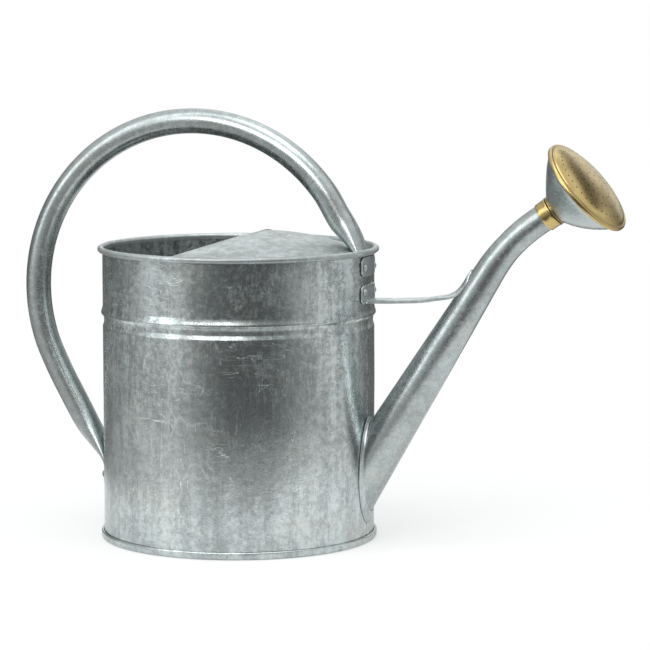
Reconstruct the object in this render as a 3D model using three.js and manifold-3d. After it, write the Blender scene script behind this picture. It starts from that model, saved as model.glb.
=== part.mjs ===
// A galvanised steel watering can with a hooped tube handle, a long gooseneck spout,
// a half hood over the mouth and a brass faced rose that screws onto the spout's end.
// Millimetres, +Z up, spout towards +X. The can's axis is the local Z axis while the
// pieces are made, and the last lines move the origin to the middle of the finished box.

import * as THREE from 'three';
import { mergeVertices } from 'three/addons/utils/BufferGeometryUtils.js';
import Module from 'manifold-3d';

const wasm = await Module();
wasm.setup();

// Body
const bodyRadius = 110;          // outside of the plain wall
const rimHeight = 236.6;         // top of the rolled rim above the ground
const sheet = 0.8;               // gauge of the galvanised sheet
const gap = 0.3;                 // clearance between pieces that touch
const rimRollRadius = 2.5;       // outside radius of the rolled rim
const rimWireRadius = 1.35;
const wireArc = 300;             // last corner of the wire's six, in degrees
const rimSheet = 0.7;             // sheet thinned by rolling
const rimInset = 0.3;            // the roll's centre stands this much inside the wall plus its radius
const rimCurlEnd = -112;         // where the roll's edge turns back to the wall, in degrees
const rimUnder = rimHeight - rimRollRadius * 2;
const beadDrop = 55.6;           // from the rim's top down to the double bead
const beadHeight = rimHeight - beadDrop;
const beadBulge = 1.3;           // how far the upper bead stands out
const beadGroove = 1.1;          // how far the groove below it sinks in
const beadReach = 8;             // height of the bead's upper slope
const bodySegments = 48;

// Base pan
const seamHeight = 5.8;          // outer foot ring above the ground
const seamOut = 2.05;            // how far the foot ring stands out of the wall
const seamFold = 0.8;            // sheet under the wall's lower edge
const panRise = 7;               // recessed disc above the ground
const panSheet = 0.8;
const panCorner = 3;             // bend between the disc and its upright edge

// Handle
const handleTubeRadius = 10.2;
const handleWall = 0.9;
const handleSides = 16;
const hoopRadius = 137.5;        // centre line of the hoop
const hoopCentreX = -37.4;
const hoopCentreDrop = 38.1;     // below the rim's top
const hoopCentreZ = rimHeight - hoopCentreDrop;
const hoopFrontAngle = 26;       // degrees above the hoop's centre, towards the spout
const hoopBackAngle = 208.5;
const flatHalf = 1.6;            // half thickness of the flattened ends
const backEndZ = 38;
const backRivetZ = 45;
const backBendZ = 59.5;            // where the tube is flat on the body's back

// Crushed stretches of the tube: how far towards the flat end, how far along the fall, how round
const frontCrush = [[0.12, 0.8, 0.26], [0.36, 0.55, 0.55], [0.66, 0.28, 0.84]];
const backCrush = [[0.33, 0.38, 1], [0.6, 0.67, 0.9], [0.82, 0.86, 0.58], [0.96, 1, 0.2], [1, 1.08, 0]];

// Plates and rivets
const plateThickness = 0.9;
const plateHalfWidth = 18.5;
const topPlateGap = 0.9;         // the top plate ends this far under the rolled rim
const topPlateHeight = 15.7;
const topPlateTop = rimUnder - topPlateGap;
const topPlateBottom = topPlateTop - topPlateHeight;
const frontRivetDrop = 8.7;      // rivets below the plate's top
const frontRivetZ = topPlateTop - frontRivetDrop;
const frontEndDrop = 8.5;        // the handle's end inside the rim reaches this far below them
const frontEndZ = frontRivetZ - frontEndDrop;
const backPlateTop = 84;
const backPlateBottom = 35;
const plateCorner = 6;
const rivetShank = 1.8;
const rivetHead = 3;
const rivetDome = 1.5;
const rivetTail = 1;             // thickness of the flattened tail
const drillDepth = 24;
const cutterReach = 20;          // below the ground
const rivetSpread = 12.3;        // half the distance between a pair of rivets
const backRivetSpread = 8.5;
const rivetSides = 8;

// Stay between the body and the spout
const stayFootGap = 6.7;         // bare wall between the top plate and the stay's foot
const stayFootTop = topPlateBottom - stayFootGap;
const stayFootHeight = 12.1;     // down to the top of the strap where it leaves the body
const stayTop = stayFootTop - stayFootHeight;
const stayDepth = 2.8;           // depth of the turned down edges
const stayHalfWidth = 9.5;
const staySheet = 1;
const stayRivetDrop = 5.8;
const stayRivetZ = stayFootTop - stayRivetDrop;
const stayLift = 0.8;            // the strap still stands off a little where it first lies down
const stayTipNarrow = 0.35;      // share of its width that the strap loses towards the tip
const stayTipAlong = 182;        // tip of the stay, measured along the spout from the wall
const stayLandAlong = 161;       // where the stay first lies on the spout

// Spout
const spoutRootZ = 60.3;         // where the centre line meets the wall
const spoutAngle = 58.3;         // slope of the straight part
const spoutStraight = 189;
const bendRadius = 135;
const neckAngle = 35.5;          // slope of the outlet
const spoutRootRadius = 19.4;
const spoutRootHalfWidth = 17;   // the root is a little narrower across
const spoutEndRadius = 11;
const spoutTaperEnd = 215;       // the taper ends this far along
const spoutWall = 0.8;
const spoutSides = 18;
const spoutEndStraight = 12;     // straight stretch after the bend, inside the ferrule
const flangeWidth = 3;
const rootInside = -42;          // cuts at the root start this far inside the wall
const rootOutside = 60;          // and end this far outside it
const boreOver = 4;              // the bore's cutter runs past both ends of the tube

// Hood
const hoodPeakX = 26;
const hoodPeakRise = 12.7;       // above the rim's top
const hoodPeakZ = rimHeight + hoodPeakRise;
const hoodEdgeDrop = 6.4;        // the hood meets the wall this far below the rim's top
const hoodEdgeZ = rimHeight - hoodEdgeDrop;
const hoodSweep = 110;           // half the sweep of wall that the hood covers, in degrees
const hoodFrontSweep = 6;
const hoodFrontX = 97;
const hoodFrontDrop = 1.2;
const hoodFrontZ = rimHeight - hoodFrontDrop;
const hoodSheet = 0.7;
const hoodHem = 1.7;             // folded free edge
const hoodRound = 0.16;          // how softly the ridge is rounded
const hoodCrown = 2.2;           // how far the ridge sags below its smooth fall
const hoodFall = 2.2;            // power of the ridge's fall towards the front
const hoodClearance = 0.5;       // from the hood to the wall and to the handle

// Ferrule, washer and rose
const ferruleLength = 9.5;
const ferruleRadius = 11.9;
const ferruleLip = 12.5;
const ferruleSocket = 4;         // depth that slides over the spout's end
const threadRadius = 9;          // outside of the rose's threaded neck
const seatGap = 0.1;             // on both sides of the washer
const neckWall = 1;
const neckLength = 12;
const washerThickness = 0.7;
const washerRadius = 12;
const bowlRadius = 40;
const bowlDepth = 37;
const bowlPower = 1.33;          // 2 would be a round bowl, 1 a plain cone
const bowlWall = 0.7;
const bowlMouth = 12.6;          // radius where the bowl meets its neck
const faceRadius = 42.2;
const faceDome = 6.5;
const domePower = 0.7;
const faceSheet = 0.6;
const faceTilt = 8.3;              // the face looks up a little from the neck's axis
const faceTurn = 51;             // and a little to one side, round the neck
const holeRadius = 0.65;
const holeRings = 4;
const holesPerRing = 9;          // the first ring's count, and each ring adds as many
const holeRingStep = 8.2;
const roseSegments = 32;

const galvanised = { color: 0xa9b2b4, roughness: 0.38, metalness: 0.9 };
const smoothZinc = { color: 0xb4bdc0, roughness: 0.32, metalness: 0.85 };
const brass = { color: 0xc0a05a, roughness: 0.3, metalness: 1 };
const rubberLook = { color: 0x2a2a2a, roughness: 0.8, metalness: 0 };

const radians = THREE.MathUtils.degToRad;
const lerp = THREE.MathUtils.lerp;
const smooth = THREE.MathUtils.smoothstep;
const group = new THREE.Group();

// Geometry helpers

function weld(geometry) {
  const bare = geometry.clone();
  bare.deleteAttribute('normal');
  bare.deleteAttribute('uv');
  const merged = mergeVertices(bare, 1e-4);
  const source = merged.index.array;
  const kept = [];
  for (let i = 0; i < source.length; i += 3) {
    const [a, b, c] = [source[i], source[i + 1], source[i + 2]];
    if (a !== b && b !== c && c !== a) kept.push(a, b, c);
  }
  merged.setIndex(kept);
  return merged;
}

function signedVolume(geometry) {
  const at = geometry.attributes.position;
  const index = geometry.index.array;
  const [a, b, c] = [new THREE.Vector3(), new THREE.Vector3(), new THREE.Vector3()];
  let sum = 0;
  for (let i = 0; i < index.length; i += 3) {
    a.fromBufferAttribute(at, index[i]);
    b.fromBufferAttribute(at, index[i + 1]);
    c.fromBufferAttribute(at, index[i + 2]);
    sum += a.dot(b.cross(c)) / 6;
  }
  return sum;
}

function solid(geometry) {
  const closed = weld(geometry);
  const index = Uint32Array.from(closed.index.array);
  if (signedVolume(closed) < 0) {
    for (let i = 0; i < index.length; i += 3) {
      [index[i], index[i + 1]] = [index[i + 1], index[i]];
    }
  }
  const vertProperties = Float32Array.from(closed.attributes.position.array);
  return new wasm.Manifold(new wasm.Mesh({ numProp: 3, vertProperties, triVerts: index }));
}

function add(name, body, look, parent = group) {
  const cut = body.getMesh();
  const geometry = new THREE.BufferGeometry();
  geometry.setAttribute('position', new THREE.BufferAttribute(cut.vertProperties, 3));
  geometry.setIndex(new THREE.BufferAttribute(cut.triVerts, 1));
  geometry.computeVertexNormals();
  const mesh = new THREE.Mesh(geometry, new THREE.MeshStandardMaterial(look));
  mesh.name = name;
  parent.add(mesh);
  return mesh;
}

// Turns a closed profile of [radius, height] pairs about the Z axis.
function turned(profile, segments) {
  const points = profile.map(([r, z]) => new THREE.Vector2(r, z));
  points.push(points[0].clone());
  const lathe = new THREE.LatheGeometry(points, segments);
  lathe.rotateX(Math.PI / 2);
  return lathe;
}

// Joins rings of points, each ring the same count, into one closed skin.
function skin(rings, closedLoop = false) {
  const count = rings[0].length;
  const positions = [];
  for (const ring of rings) for (const p of ring) positions.push(p.x, p.y, p.z);
  const index = [];
  const last = closedLoop ? rings.length : rings.length - 1;
  for (let i = 0; i < last; i++) {
    const next = (i + 1) % rings.length;
    for (let j = 0; j < count; j++) {
      const k = (j + 1) % count;
      index.push(i * count + j, i * count + k, next * count + k);
      index.push(i * count + j, next * count + k, next * count + j);
    }
  }
  if (!closedLoop) {
    const middle = (ring) => ring.reduce((sum, p) => sum.add(p), new THREE.Vector3()).divideScalar(count);
    const first = positions.length / 3;
    positions.push(...middle(rings[0]).toArray(), ...middle(rings[rings.length - 1]).toArray());
    const base = (rings.length - 1) * count;
    for (let j = 0; j < count; j++) {
      const k = (j + 1) % count;
      index.push(first, k, j, first + 1, base + j, base + k);
    }
  }
  const geometry = new THREE.BufferGeometry();
  geometry.setAttribute('position', new THREE.Float32BufferAttribute(positions, 3));
  geometry.setIndex(index);
  return geometry;
}

// A thin shell of sheet round the body, the stock that curved plates are cut from.
function wallShell(inner, thickness, low, high) {
  const profile = [[inner, low], [inner + thickness, low], [inner + thickness, high], [inner, high]];
  return solid(turned(profile, bodySegments));
}

// A bar along X or against it, whose outline in Y and Z has rounded corners.
function plateBar(halfWidth, low, high, corner, side) {
  const shape = new THREE.Shape();
  shape.moveTo(-halfWidth + corner, low);
  shape.lineTo(halfWidth - corner, low);
  shape.absarc(halfWidth - corner, low + corner, corner, -Math.PI / 2, 0);
  shape.absarc(halfWidth - corner, high - corner, corner, 0, Math.PI / 2);
  shape.lineTo(-halfWidth + corner, high);
  shape.absarc(-halfWidth + corner, high - corner, corner, Math.PI / 2, Math.PI);
  shape.absarc(-halfWidth + corner, low + corner, corner, Math.PI, Math.PI * 1.5);
  const bar = new THREE.ExtrudeGeometry(shape, { depth: bodyRadius * 2, bevelEnabled: false, curveSegments: 5 });
  bar.applyMatrix4(new THREE.Matrix4().makeBasis(
    new THREE.Vector3(0, 1, 0), new THREE.Vector3(0, 0, 1), new THREE.Vector3(side, 0, 0)));
  return solid(bar);
}

// The matrix that puts +Z along the wall's outward normal at a height and a sideways offset.
function onWall(radius, sideways, height, side) {
  const turn = Math.asin(sideways / radius);
  const outward = new THREE.Vector3(Math.cos(turn) * side, Math.sin(turn), 0);
  const up = new THREE.Vector3(0, 0, 1);
  const across = new THREE.Vector3().crossVectors(up, outward);
  const matrix = new THREE.Matrix4().makeBasis(across, up, outward);
  return matrix.setPosition(outward.x * radius, outward.y * radius, height);
}

function drill(radius, sideways, height, side, depth) {
  const bit = new THREE.CylinderGeometry(radius, radius, depth, rivetSides);
  bit.rotateX(Math.PI / 2);
  bit.applyMatrix4(onWall(bodyRadius, sideways, height, side));
  return solid(bit);
}

// A rivet on the wall: a domed head outside, a shank and a flat tail inside.
function rivet(name, sideways, height, side, headRadius, tailRadius) {
  const head = headRadius - bodyRadius;
  const tail = tailRadius - bodyRadius;
  const profile = [[0, head + rivetDome]];
  for (const share of [0.45, 0.8, 1]) {
    profile.push([rivetHead * share, head + rivetDome * Math.sqrt(1.02 - share * share)]);
  }
  profile.push([rivetHead, head], [rivetShank, head], [rivetShank, tail]);
  profile.push([rivetHead * 0.9, tail], [rivetHead * 0.8, tail - rivetTail], [0, tail - rivetTail]);
  const pin = turned(profile, rivetSides);
  pin.applyMatrix4(onWall(bodyRadius, sideways, height, side));
  add(name, solid(pin), galvanised);
}

// Spout centre line: straight, then a bend down to the neck's slope, then straight again

const rootSlope = radians(spoutAngle);
const neckSlope = radians(neckAngle);
const bendLength = bendRadius * (rootSlope - neckSlope);
const spoutLength = spoutStraight + bendLength + spoutEndStraight;

function spoutPoint(along) {
  const straight = Math.min(along, spoutStraight);
  const bent = THREE.MathUtils.clamp(along - spoutStraight, 0, bendLength);
  const beyond = Math.max(0, along - spoutStraight - bendLength);
  const slope = rootSlope - bent / bendRadius;
  const x = bodyRadius + straight * Math.cos(rootSlope)
    + bendRadius * (Math.sin(rootSlope) - Math.sin(slope)) + beyond * Math.cos(slope);
  const z = spoutRootZ + straight * Math.sin(rootSlope)
    + bendRadius * (Math.cos(slope) - Math.cos(rootSlope)) + beyond * Math.sin(slope);
  return { x, z, slope };
}

function spoutRadius(along) {
  const share = THREE.MathUtils.clamp(along / spoutTaperEnd, -0.25, 1);
  return lerp(spoutRootRadius, spoutEndRadius, share);
}

function spoutLoft(grow, from, to) {
  const stations = [];
  for (let along = from; along < Math.min(spoutStraight, to) - 1; along += 42) stations.push(along);
  for (let i = 0; i <= 5; i++) stations.push(spoutStraight + bendLength * i / 5);
  stations.push(to);
  const kept = stations.filter((along, i) => along <= to && (i === 0 || along > stations[i - 1]));
  const rings = kept.map((along) => {
    const { x, z, slope } = spoutPoint(along);
    const tall = spoutRadius(along) + grow;
    const narrow = (spoutRootRadius - spoutRootHalfWidth) * (1 - smooth(along, 0, spoutTaperEnd * 0.6));
    const ring = [];
    for (let j = 0; j < spoutSides; j++) {
      const turn = (j / spoutSides) * Math.PI * 2;
      const lift = Math.cos(turn) * tall;
      ring.push(new THREE.Vector3(
        x - Math.sin(slope) * lift, Math.sin(turn) * (tall - narrow), z + Math.cos(slope) * lift));
    }
    return ring;
  });
  return solid(skin(rings));
}

// Handle centre line: flat end inside the rim, the hoop, a straight leg, flat end on the back

const innerWall = bodyRadius - sheet;
const frontFlatX = innerWall - gap - flatHalf;
const backSeat = bodyRadius + gap + plateThickness + gap;
const backFlatX = -(backSeat + flatHalf);
const frontFlatTop = frontRivetZ + rivetHead;

function hoopPoint(angle) {
  const turn = radians(angle);
  return [hoopCentreX + hoopRadius * Math.cos(turn), hoopCentreZ + hoopRadius * Math.sin(turn)];
}

function handleStations() {
  const round = handleTubeRadius;
  const [frontX, frontZ] = hoopPoint(hoopFrontAngle);
  const [backX, backZ] = hoopPoint(hoopBackAngle);
  const list = [];
  const station = (x, z, roundness) => list.push({ x, z, half: lerp(flatHalf, round, roundness) });
  station(frontFlatX, frontEndZ, 0);
  station(frontFlatX, frontFlatTop, 0);
  const fall = frontZ - frontFlatTop;
  const reach = frontFlatX - frontX;
  for (const [out, drop, roundness] of frontCrush) {
    station(frontFlatX - reach * out, frontZ - fall * drop, roundness);
  }
  const steps = 17;
  for (let i = 0; i <= steps; i++) {
    const [x, z] = hoopPoint(lerp(hoopFrontAngle, hoopBackAngle, i / steps));
    station(x, z, 1);
  }
  const leg = backZ - backBendZ;
  const inward = backFlatX - backX;
  for (const [out, drop, roundness] of backCrush) {
    station(backX + inward * out, backZ - leg * drop, roundness);
  }
  station(backFlatX, backEndZ, 0);
  return list;
}

// The tube keeps its girth where it is flattened, so it spreads sideways.
function spreadOf(half) {
  const ellipse = Math.sqrt(Math.max(2 * handleTubeRadius ** 2 - half ** 2, 0));
  const strip = (handleTubeRadius * Math.PI / 2) * (1 - half / handleTubeRadius) + half;
  return (ellipse + strip) / 2;
}

function handleLoft(offset) {
  const stations = handleStations();
  const rings = stations.map((station, i) => {
    const before = stations[Math.max(i - 1, 0)];
    const after = stations[Math.min(i + 1, stations.length - 1)];
    const heading = new THREE.Vector2(after.x - before.x, after.z - before.z).normalize();
    const flatness = THREE.MathUtils.clamp(
      (handleTubeRadius - station.half) / (handleTubeRadius - flatHalf), 0, 1);
    const wide = spreadOf(station.half) + offset;
    const thick = station.half + (offset < 0 ? Math.max(offset, -station.half * 0.75) : offset);
    const wallRadius = station.x > hoopCentreX ? innerWall : -backSeat;
    const ring = [];
    for (let j = 0; j < handleSides; j++) {
      const turn = ((j + 0.5) / handleSides) * Math.PI * 2;
      const across = Math.sin(turn) * wide;
      const lift = Math.cos(turn) * thick;
      const bow = flatness * flatness * across * across / (2 * wallRadius);
      ring.push(new THREE.Vector3(
        station.x + heading.y * lift - bow, across, station.z - heading.x * lift));
    }
    return ring;
  });
  if (offset < 0) {
    const push = (ring, along) => ring.map((p) => p.clone().add(new THREE.Vector3(0, 0, along)));
    rings[0] = push(rings[0], -2);
    rings[rings.length - 1] = push(rings[rings.length - 1], -2);
  }
  return solid(skin(rings));
}

// Body shell with its rolled rim and double bead

function arcPoints(centreR, centreZ, radius, from, to, steps) {
  const points = [];
  for (let i = 0; i <= steps; i++) {
    const turn = radians(lerp(from, to, i / steps));
    points.push([centreR + radius * Math.cos(turn), centreZ + radius * Math.sin(turn)]);
  }
  return points;
}

const rimR = innerWall + rimRollRadius - rimInset;
const rimZ = rimHeight - rimRollRadius;
const rimInner = rimRollRadius - rimSheet;
const wallFoot = seamFold + gap;

function beadLine(offset) {
  const r = bodyRadius - offset;
  return [
    [r, beadHeight - 9.2], [r - beadGroove, beadHeight - 5], [r - beadGroove * 0.9, beadHeight - 2.6],
    [r - beadGroove * 0.3, beadHeight], [r + beadBulge, beadHeight + 1.9],
    [r + beadBulge * 0.75, beadHeight + 3.6], [r, beadHeight + beadReach],
  ];
}

const meetAngle = 180 + Math.acos(Math.min(1, (rimR - bodyRadius) / rimInner)) * 180 / Math.PI;
const shellProfile = [
  [innerWall, wallFoot], [bodyRadius, wallFoot], ...beadLine(0),
  ...arcPoints(rimR, rimZ, rimInner, meetAngle, rimCurlEnd, 7),
  ...arcPoints(rimR, rimZ, rimRollRadius, rimCurlEnd, 180, 9),
  [innerWall, rimZ - rimRollRadius], ...beadLine(sheet).reverse(),
];

const spoutBore = spoutLoft(-spoutWall, rootInside, rootOutside);
const frontSide = 1;
const backSide = -1;
const rivetHole = rivetShank + gap;

let shell = solid(turned(shellProfile, bodySegments)).subtract(spoutBore);
let topPlate = wallShell(bodyRadius + gap, plateThickness, topPlateBottom, topPlateTop)
  .intersect(plateBar(plateHalfWidth, topPlateBottom, topPlateTop + plateCorner, plateCorner, frontSide));
let backPlate = wallShell(bodyRadius + gap, plateThickness, backPlateBottom, backPlateTop)
  .intersect(plateBar(plateHalfWidth, backPlateBottom, backPlateTop, plateCorner, backSide));
let handle = handleLoft(0).subtract(handleLoft(-handleWall));

for (const sign of [-1, 1]) {
  const front = drill(rivetHole, sign * rivetSpread, frontRivetZ, frontSide, drillDepth);
  const stay = drill(rivetHole, sign * rivetSpread, stayRivetZ, frontSide, drillDepth);
  const back = drill(rivetHole, sign * backRivetSpread, backRivetZ, backSide, drillDepth);
  shell = shell.subtract(front).subtract(stay).subtract(back);
  topPlate = topPlate.subtract(front);
  backPlate = backPlate.subtract(back);
  handle = handle.subtract(front).subtract(back);
}

add('body_shell', shell, galvanised);
add('rim_wire', solid(turned(arcPoints(rimR, rimZ, rimWireRadius, 0, wireArc, 5), bodySegments)), galvanised);
add('handle_tube', handle, galvanised);
add('handle_top_plate', topPlate, galvanised);
add('handle_back_plate', backPlate, galvanised);

// Base pan: a recessed disc whose edge is folded round the wall's foot

const seatIn = innerWall - gap - panSheet;
const foldOut = bodyRadius + seamOut;
const panProfile = [
  [0, panRise], [0, panRise - panSheet], [seatIn - panCorner, panRise - panSheet], [seatIn, panRise - panSheet - panCorner],
  [seatIn, 0.6], [seatIn + 0.6, 0], [foldOut - 1.2, 0], [foldOut - 0.3, 0.9], [foldOut, 2],
  [foldOut, seamHeight - 1.4], [foldOut - 0.8, seamHeight], [bodyRadius + gap, seamHeight],
  [bodyRadius + gap, seamFold], [innerWall - gap, seamFold], [innerWall - gap, panRise - panSheet - 2.4],
  [innerWall - gap - panCorner, panRise],
];
add('base_pan', solid(turned(panProfile, bodySegments)), galvanised);

// Spout tube, its soldered flange, and the stay that holds it

const wallCut = solid(turned(
  [[0, -cutterReach], [bodyRadius + gap, -cutterReach], [bodyRadius + gap, rimHeight], [0, rimHeight]], bodySegments));
const spoutTube = spoutLoft(0, rootInside, spoutLength)
  .subtract(spoutLoft(-spoutWall, rootInside - boreOver, spoutLength + boreOver));
add('spout_tube', spoutTube.subtract(wallCut), galvanised);

const flange = wallShell(bodyRadius + gap, plateThickness, seamHeight + 1, beadHeight)
  .intersect(spoutLoft(flangeWidth, rootInside, rootOutside))
  .subtract(spoutLoft(gap, rootInside, rootOutside));
add('spout_flange', flange, galvanised);

function stayPath() {
  const land = spoutPoint(stayLandAlong);
  const tip = spoutPoint(stayTipAlong);
  const rise = (point, along, extra) => {
    const lift = spoutRadius(along) + gap + staySheet + extra;
    return [point.x - Math.sin(point.slope) * lift, point.z + Math.cos(point.slope) * lift];
  };
  const [landX, landZ] = rise(land, stayLandAlong, stayLift);
  const [tipX, tipZ] = rise(tip, stayTipAlong, 0);
  const start = bodyRadius + gap + plateThickness * 0.6;
  const curve = new THREE.CatmullRomCurve3([
    new THREE.Vector3(start, 0, stayTop),
    new THREE.Vector3(lerp(start, landX, 0.35), 0, stayTop + 0.9),
    new THREE.Vector3(lerp(start, landX, 0.72), 0, lerp(stayTop, landZ, 0.33)),
    new THREE.Vector3(landX, 0, landZ),
    new THREE.Vector3(tipX, 0, tipZ),
  ]);
  return curve;
}

function stayStrap() {
  const curve = stayPath();
  const steps = 16;
  const rings = [];
  for (let i = 0; i <= steps; i++) {
    const share = i / steps;
    const point = curve.getPoint(share);
    const heading = curve.getTangent(share);
    const up = new THREE.Vector3(-heading.z, 0, heading.x);
    const hug = smooth(share, 0.55, 0.85);
    const half = stayHalfWidth * (1 - stayTipNarrow * smooth(share, 0.86, 1));
    const depth = lerp(stayDepth, staySheet + stayLift, hug);
    const tube = spoutRadius(stayLandAlong) + gap + staySheet;
    const outer = [];
    const inner = [];
    const across = 6;
    for (let j = 0; j <= across; j++) {
      const y = half * (2 * j / across - 1);
      const arch = hug * (tube - Math.sqrt(tube * tube - y * y));
      outer.push([y, -arch]);
      inner.push([y * (1 - staySheet / half), -arch - staySheet]);
    }
    const edge = outer[0][1] - depth;
    const loop = [[-half, edge], ...outer, [half, edge], [half - staySheet, edge], ...inner.reverse(),
      [-half + staySheet, edge]];
    rings.push(loop.map(([y, lift]) => new THREE.Vector3(
      point.x + up.x * lift, y, point.z + up.z * lift)));
  }
  return rings;
}

// Skins an open channel: the section is not star shaped, so its ends are closed by strips.
function channel(rings) {
  const count = rings[0].length;
  const half = count / 2;
  const positions = [];
  for (const ring of rings) for (const p of ring) positions.push(p.x, p.y, p.z);
  const index = [];
  for (let i = 0; i < rings.length - 1; i++) {
    for (let j = 0; j < count; j++) {
      const k = (j + 1) % count;
      index.push(i * count + j, i * count + k, (i + 1) * count + k);
      index.push(i * count + j, (i + 1) * count + k, (i + 1) * count + j);
    }
  }
  const far = (rings.length - 1) * count;
  for (let j = 0; j < half - 1; j++) {
    const mate = count - 1 - j;
    index.push(j + 1, j, mate, j + 1, mate, mate - 1);
    index.push(far + j, far + j + 1, far + mate, far + mate, far + j + 1, far + mate - 1);
  }
  const geometry = new THREE.BufferGeometry();
  geometry.setAttribute('position', new THREE.Float32BufferAttribute(positions, 3));
  geometry.setIndex(index);
  return solid(geometry);
}

const stayFootLow = stayTop - stayDepth;
let stay = wallShell(bodyRadius + gap, plateThickness, stayFootLow, stayFootTop)
  .intersect(plateBar(plateHalfWidth, stayFootLow, stayFootTop, plateCorner * 0.8, frontSide))
  .add(channel(stayStrap()))
  .subtract(spoutLoft(gap, rootInside, spoutLength));
for (const sign of [-1, 1]) {
  stay = stay.subtract(drill(rivetHole, sign * rivetSpread, stayRivetZ, frontSide, drillDepth));
}
add('spout_stay', stay, galvanised);

// Rivets

const plateFace = bodyRadius + gap + plateThickness + gap;
const tailFront = frontFlatX - flatHalf - gap - rivetTail;
rivet('handle_rivet_near', -rivetSpread, frontRivetZ, frontSide, plateFace, tailFront);
rivet('handle_rivet_far', rivetSpread, frontRivetZ, frontSide, plateFace, tailFront);
rivet('stay_rivet_near', -rivetSpread, stayRivetZ, frontSide, plateFace, innerWall - gap);
rivet('stay_rivet_far', rivetSpread, stayRivetZ, frontSide, plateFace, innerWall - gap);
const backFace = backSeat + flatHalf * 2 + gap;
rivet('back_rivet_near', -backRivetSpread, backRivetZ, backSide, backFace, innerWall - gap);
rivet('back_rivet_far', backRivetSpread, backRivetZ, backSide, backFace, innerWall - gap);

// Hood: a folded sheet from a ridge down to the wall, with a notch for the handle

function hoodSkin() {
  const rows = 16;
  const columns = 10;
  const edgeR = innerWall - hoodClearance;
  const top = [];
  for (let i = 0; i <= rows; i++) {
    const share = i / rows;
    const sweep = radians(lerp(hoodSweep, hoodFrontSweep, share));
    const ridgeX = lerp(hoodPeakX, hoodFrontX, share);
    const fall = Math.pow(share, hoodFall);
    const ridgeZ = lerp(hoodPeakZ, hoodFrontZ, fall) - hoodCrown * share * (1 - share);
    const thick = i === 0 ? hoodHem : hoodSheet;
    const row = [];
    for (let j = 0; j <= columns; j++) {
      const side = 2 * j / columns - 1;
      const out = Math.abs(side);
      const x = lerp(ridgeX, edgeR * Math.cos(sweep), out);
      const y = Math.sign(side) * edgeR * Math.sin(sweep) * out;
      const drop = (Math.hypot(out, hoodRound) - hoodRound) / (Math.hypot(1, hoodRound) - hoodRound);
      const z = lerp(ridgeZ, hoodEdgeZ, drop);
      row.push([new THREE.Vector3(x, y, z), new THREE.Vector3(x, y, z - thick)]);
    }
    top.push(row);
  }
  return top.map((row) => [...row.map((pair) => pair[0]), ...row.map((pair) => pair[1]).reverse()]);
}

const hood = channel(hoodSkin()).subtract(handleLoft(hoodClearance));
add('top_hood', hood, smoothZinc);

// Brass ferrule on the spout's end, and the rose on the same axis

const outlet = spoutPoint(spoutLength);
const neckDirection = new THREE.Vector3(Math.cos(outlet.slope), 0, Math.sin(outlet.slope));
const neckUp = new THREE.Vector3(-Math.sin(outlet.slope), 0, Math.cos(outlet.slope));
const neckSide = new THREE.Vector3().crossVectors(neckDirection, neckUp);
const neckGroup = new THREE.Group();
neckGroup.applyMatrix4(new THREE.Matrix4()
  .makeBasis(neckSide, neckUp.clone().negate(), neckDirection.clone())
  .setPosition(outlet.x, 0, outlet.z));
group.add(neckGroup);

const ferruleBack = -ferruleSocket;
const ferruleFront = ferruleBack + ferruleLength;
const ferruleProfile = [
  [spoutEndRadius + gap, ferruleBack], [ferruleRadius - 0.2, ferruleBack], [ferruleRadius, ferruleBack + 0.5],
  [ferruleRadius + 0.15, ferruleFront - 1.6], [ferruleLip, ferruleFront - 1.3], [ferruleLip, ferruleFront],
  [threadRadius + gap, ferruleFront], [threadRadius + gap, gap], [spoutEndRadius + gap, gap],
];
add('spout_ferrule', solid(turned(ferruleProfile, roseSegments)), brass, neckGroup);

const washerBack = ferruleFront + seatGap;
const washerFront = washerBack + washerThickness;
const washerProfile = [
  [threadRadius + gap, washerBack], [washerRadius, washerBack],
  [washerRadius, washerFront], [threadRadius + gap, washerFront],
];
add('rose_washer', solid(turned(washerProfile, roseSegments)), rubberLook, neckGroup);

const neckSeat = washerFront + seatGap;
const neckFlange = 1;
const neckProfile = [
  [threadRadius - neckWall, neckSeat - neckLength], [threadRadius, neckSeat - neckLength],
  [threadRadius, neckSeat], [bowlMouth - 0.3, neckSeat], [bowlMouth, neckSeat + neckFlange],
  [threadRadius - neckWall, neckSeat + neckFlange],
];
add('rose_neck', solid(turned(neckProfile, roseSegments)), brass, neckGroup);

// The rose's rings tip gradually from the neck's axis to the face's own direction.
const bowlBottom = -bowlDepth * Math.pow(1 - Math.pow(bowlMouth / bowlRadius, bowlPower), 1 / bowlPower);
const rimStation = neckSeat + neckFlange + gap - bowlBottom;

function roseTurned(profile, segments) {
  const tipAxis = new THREE.Vector3(Math.cos(radians(faceTurn)), Math.sin(radians(faceTurn)), 0);
  const rings = [];
  for (let j = 0; j < segments; j++) {
    const turn = (j / segments) * Math.PI * 2;
    rings.push(profile.map(([r, h]) => {
      const share = THREE.MathUtils.clamp(1 - h / bowlBottom, 0, 1);
      const flat = new THREE.Vector3(r * Math.cos(turn), r * Math.sin(turn), Math.max(h, 0));
      flat.applyAxisAngle(tipAxis, radians(faceTilt) * smooth(share, 0, 1));
      flat.z += Math.min(h, 0) + rimStation;
      return flat;
    }));
  }
  return solid(skin(rings, true));
}

const bowlSlant = 1.2;           // keeps the wall's thickness on the slanting side

function bowlLine(offset, steps) {
  const points = [];
  const start = Math.acos(Math.pow(bowlMouth / bowlRadius, bowlPower / 2));
  for (let i = 0; i <= steps; i++) {
    const turn = lerp(start, 0.02, i / steps);
    points.push([
      (bowlRadius - offset) * Math.pow(Math.cos(turn), 2 / bowlPower),
      -(bowlDepth - offset * bowlSlant) * Math.pow(Math.sin(turn), 2 / bowlPower),
    ]);
  }
  return points;
}

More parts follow.
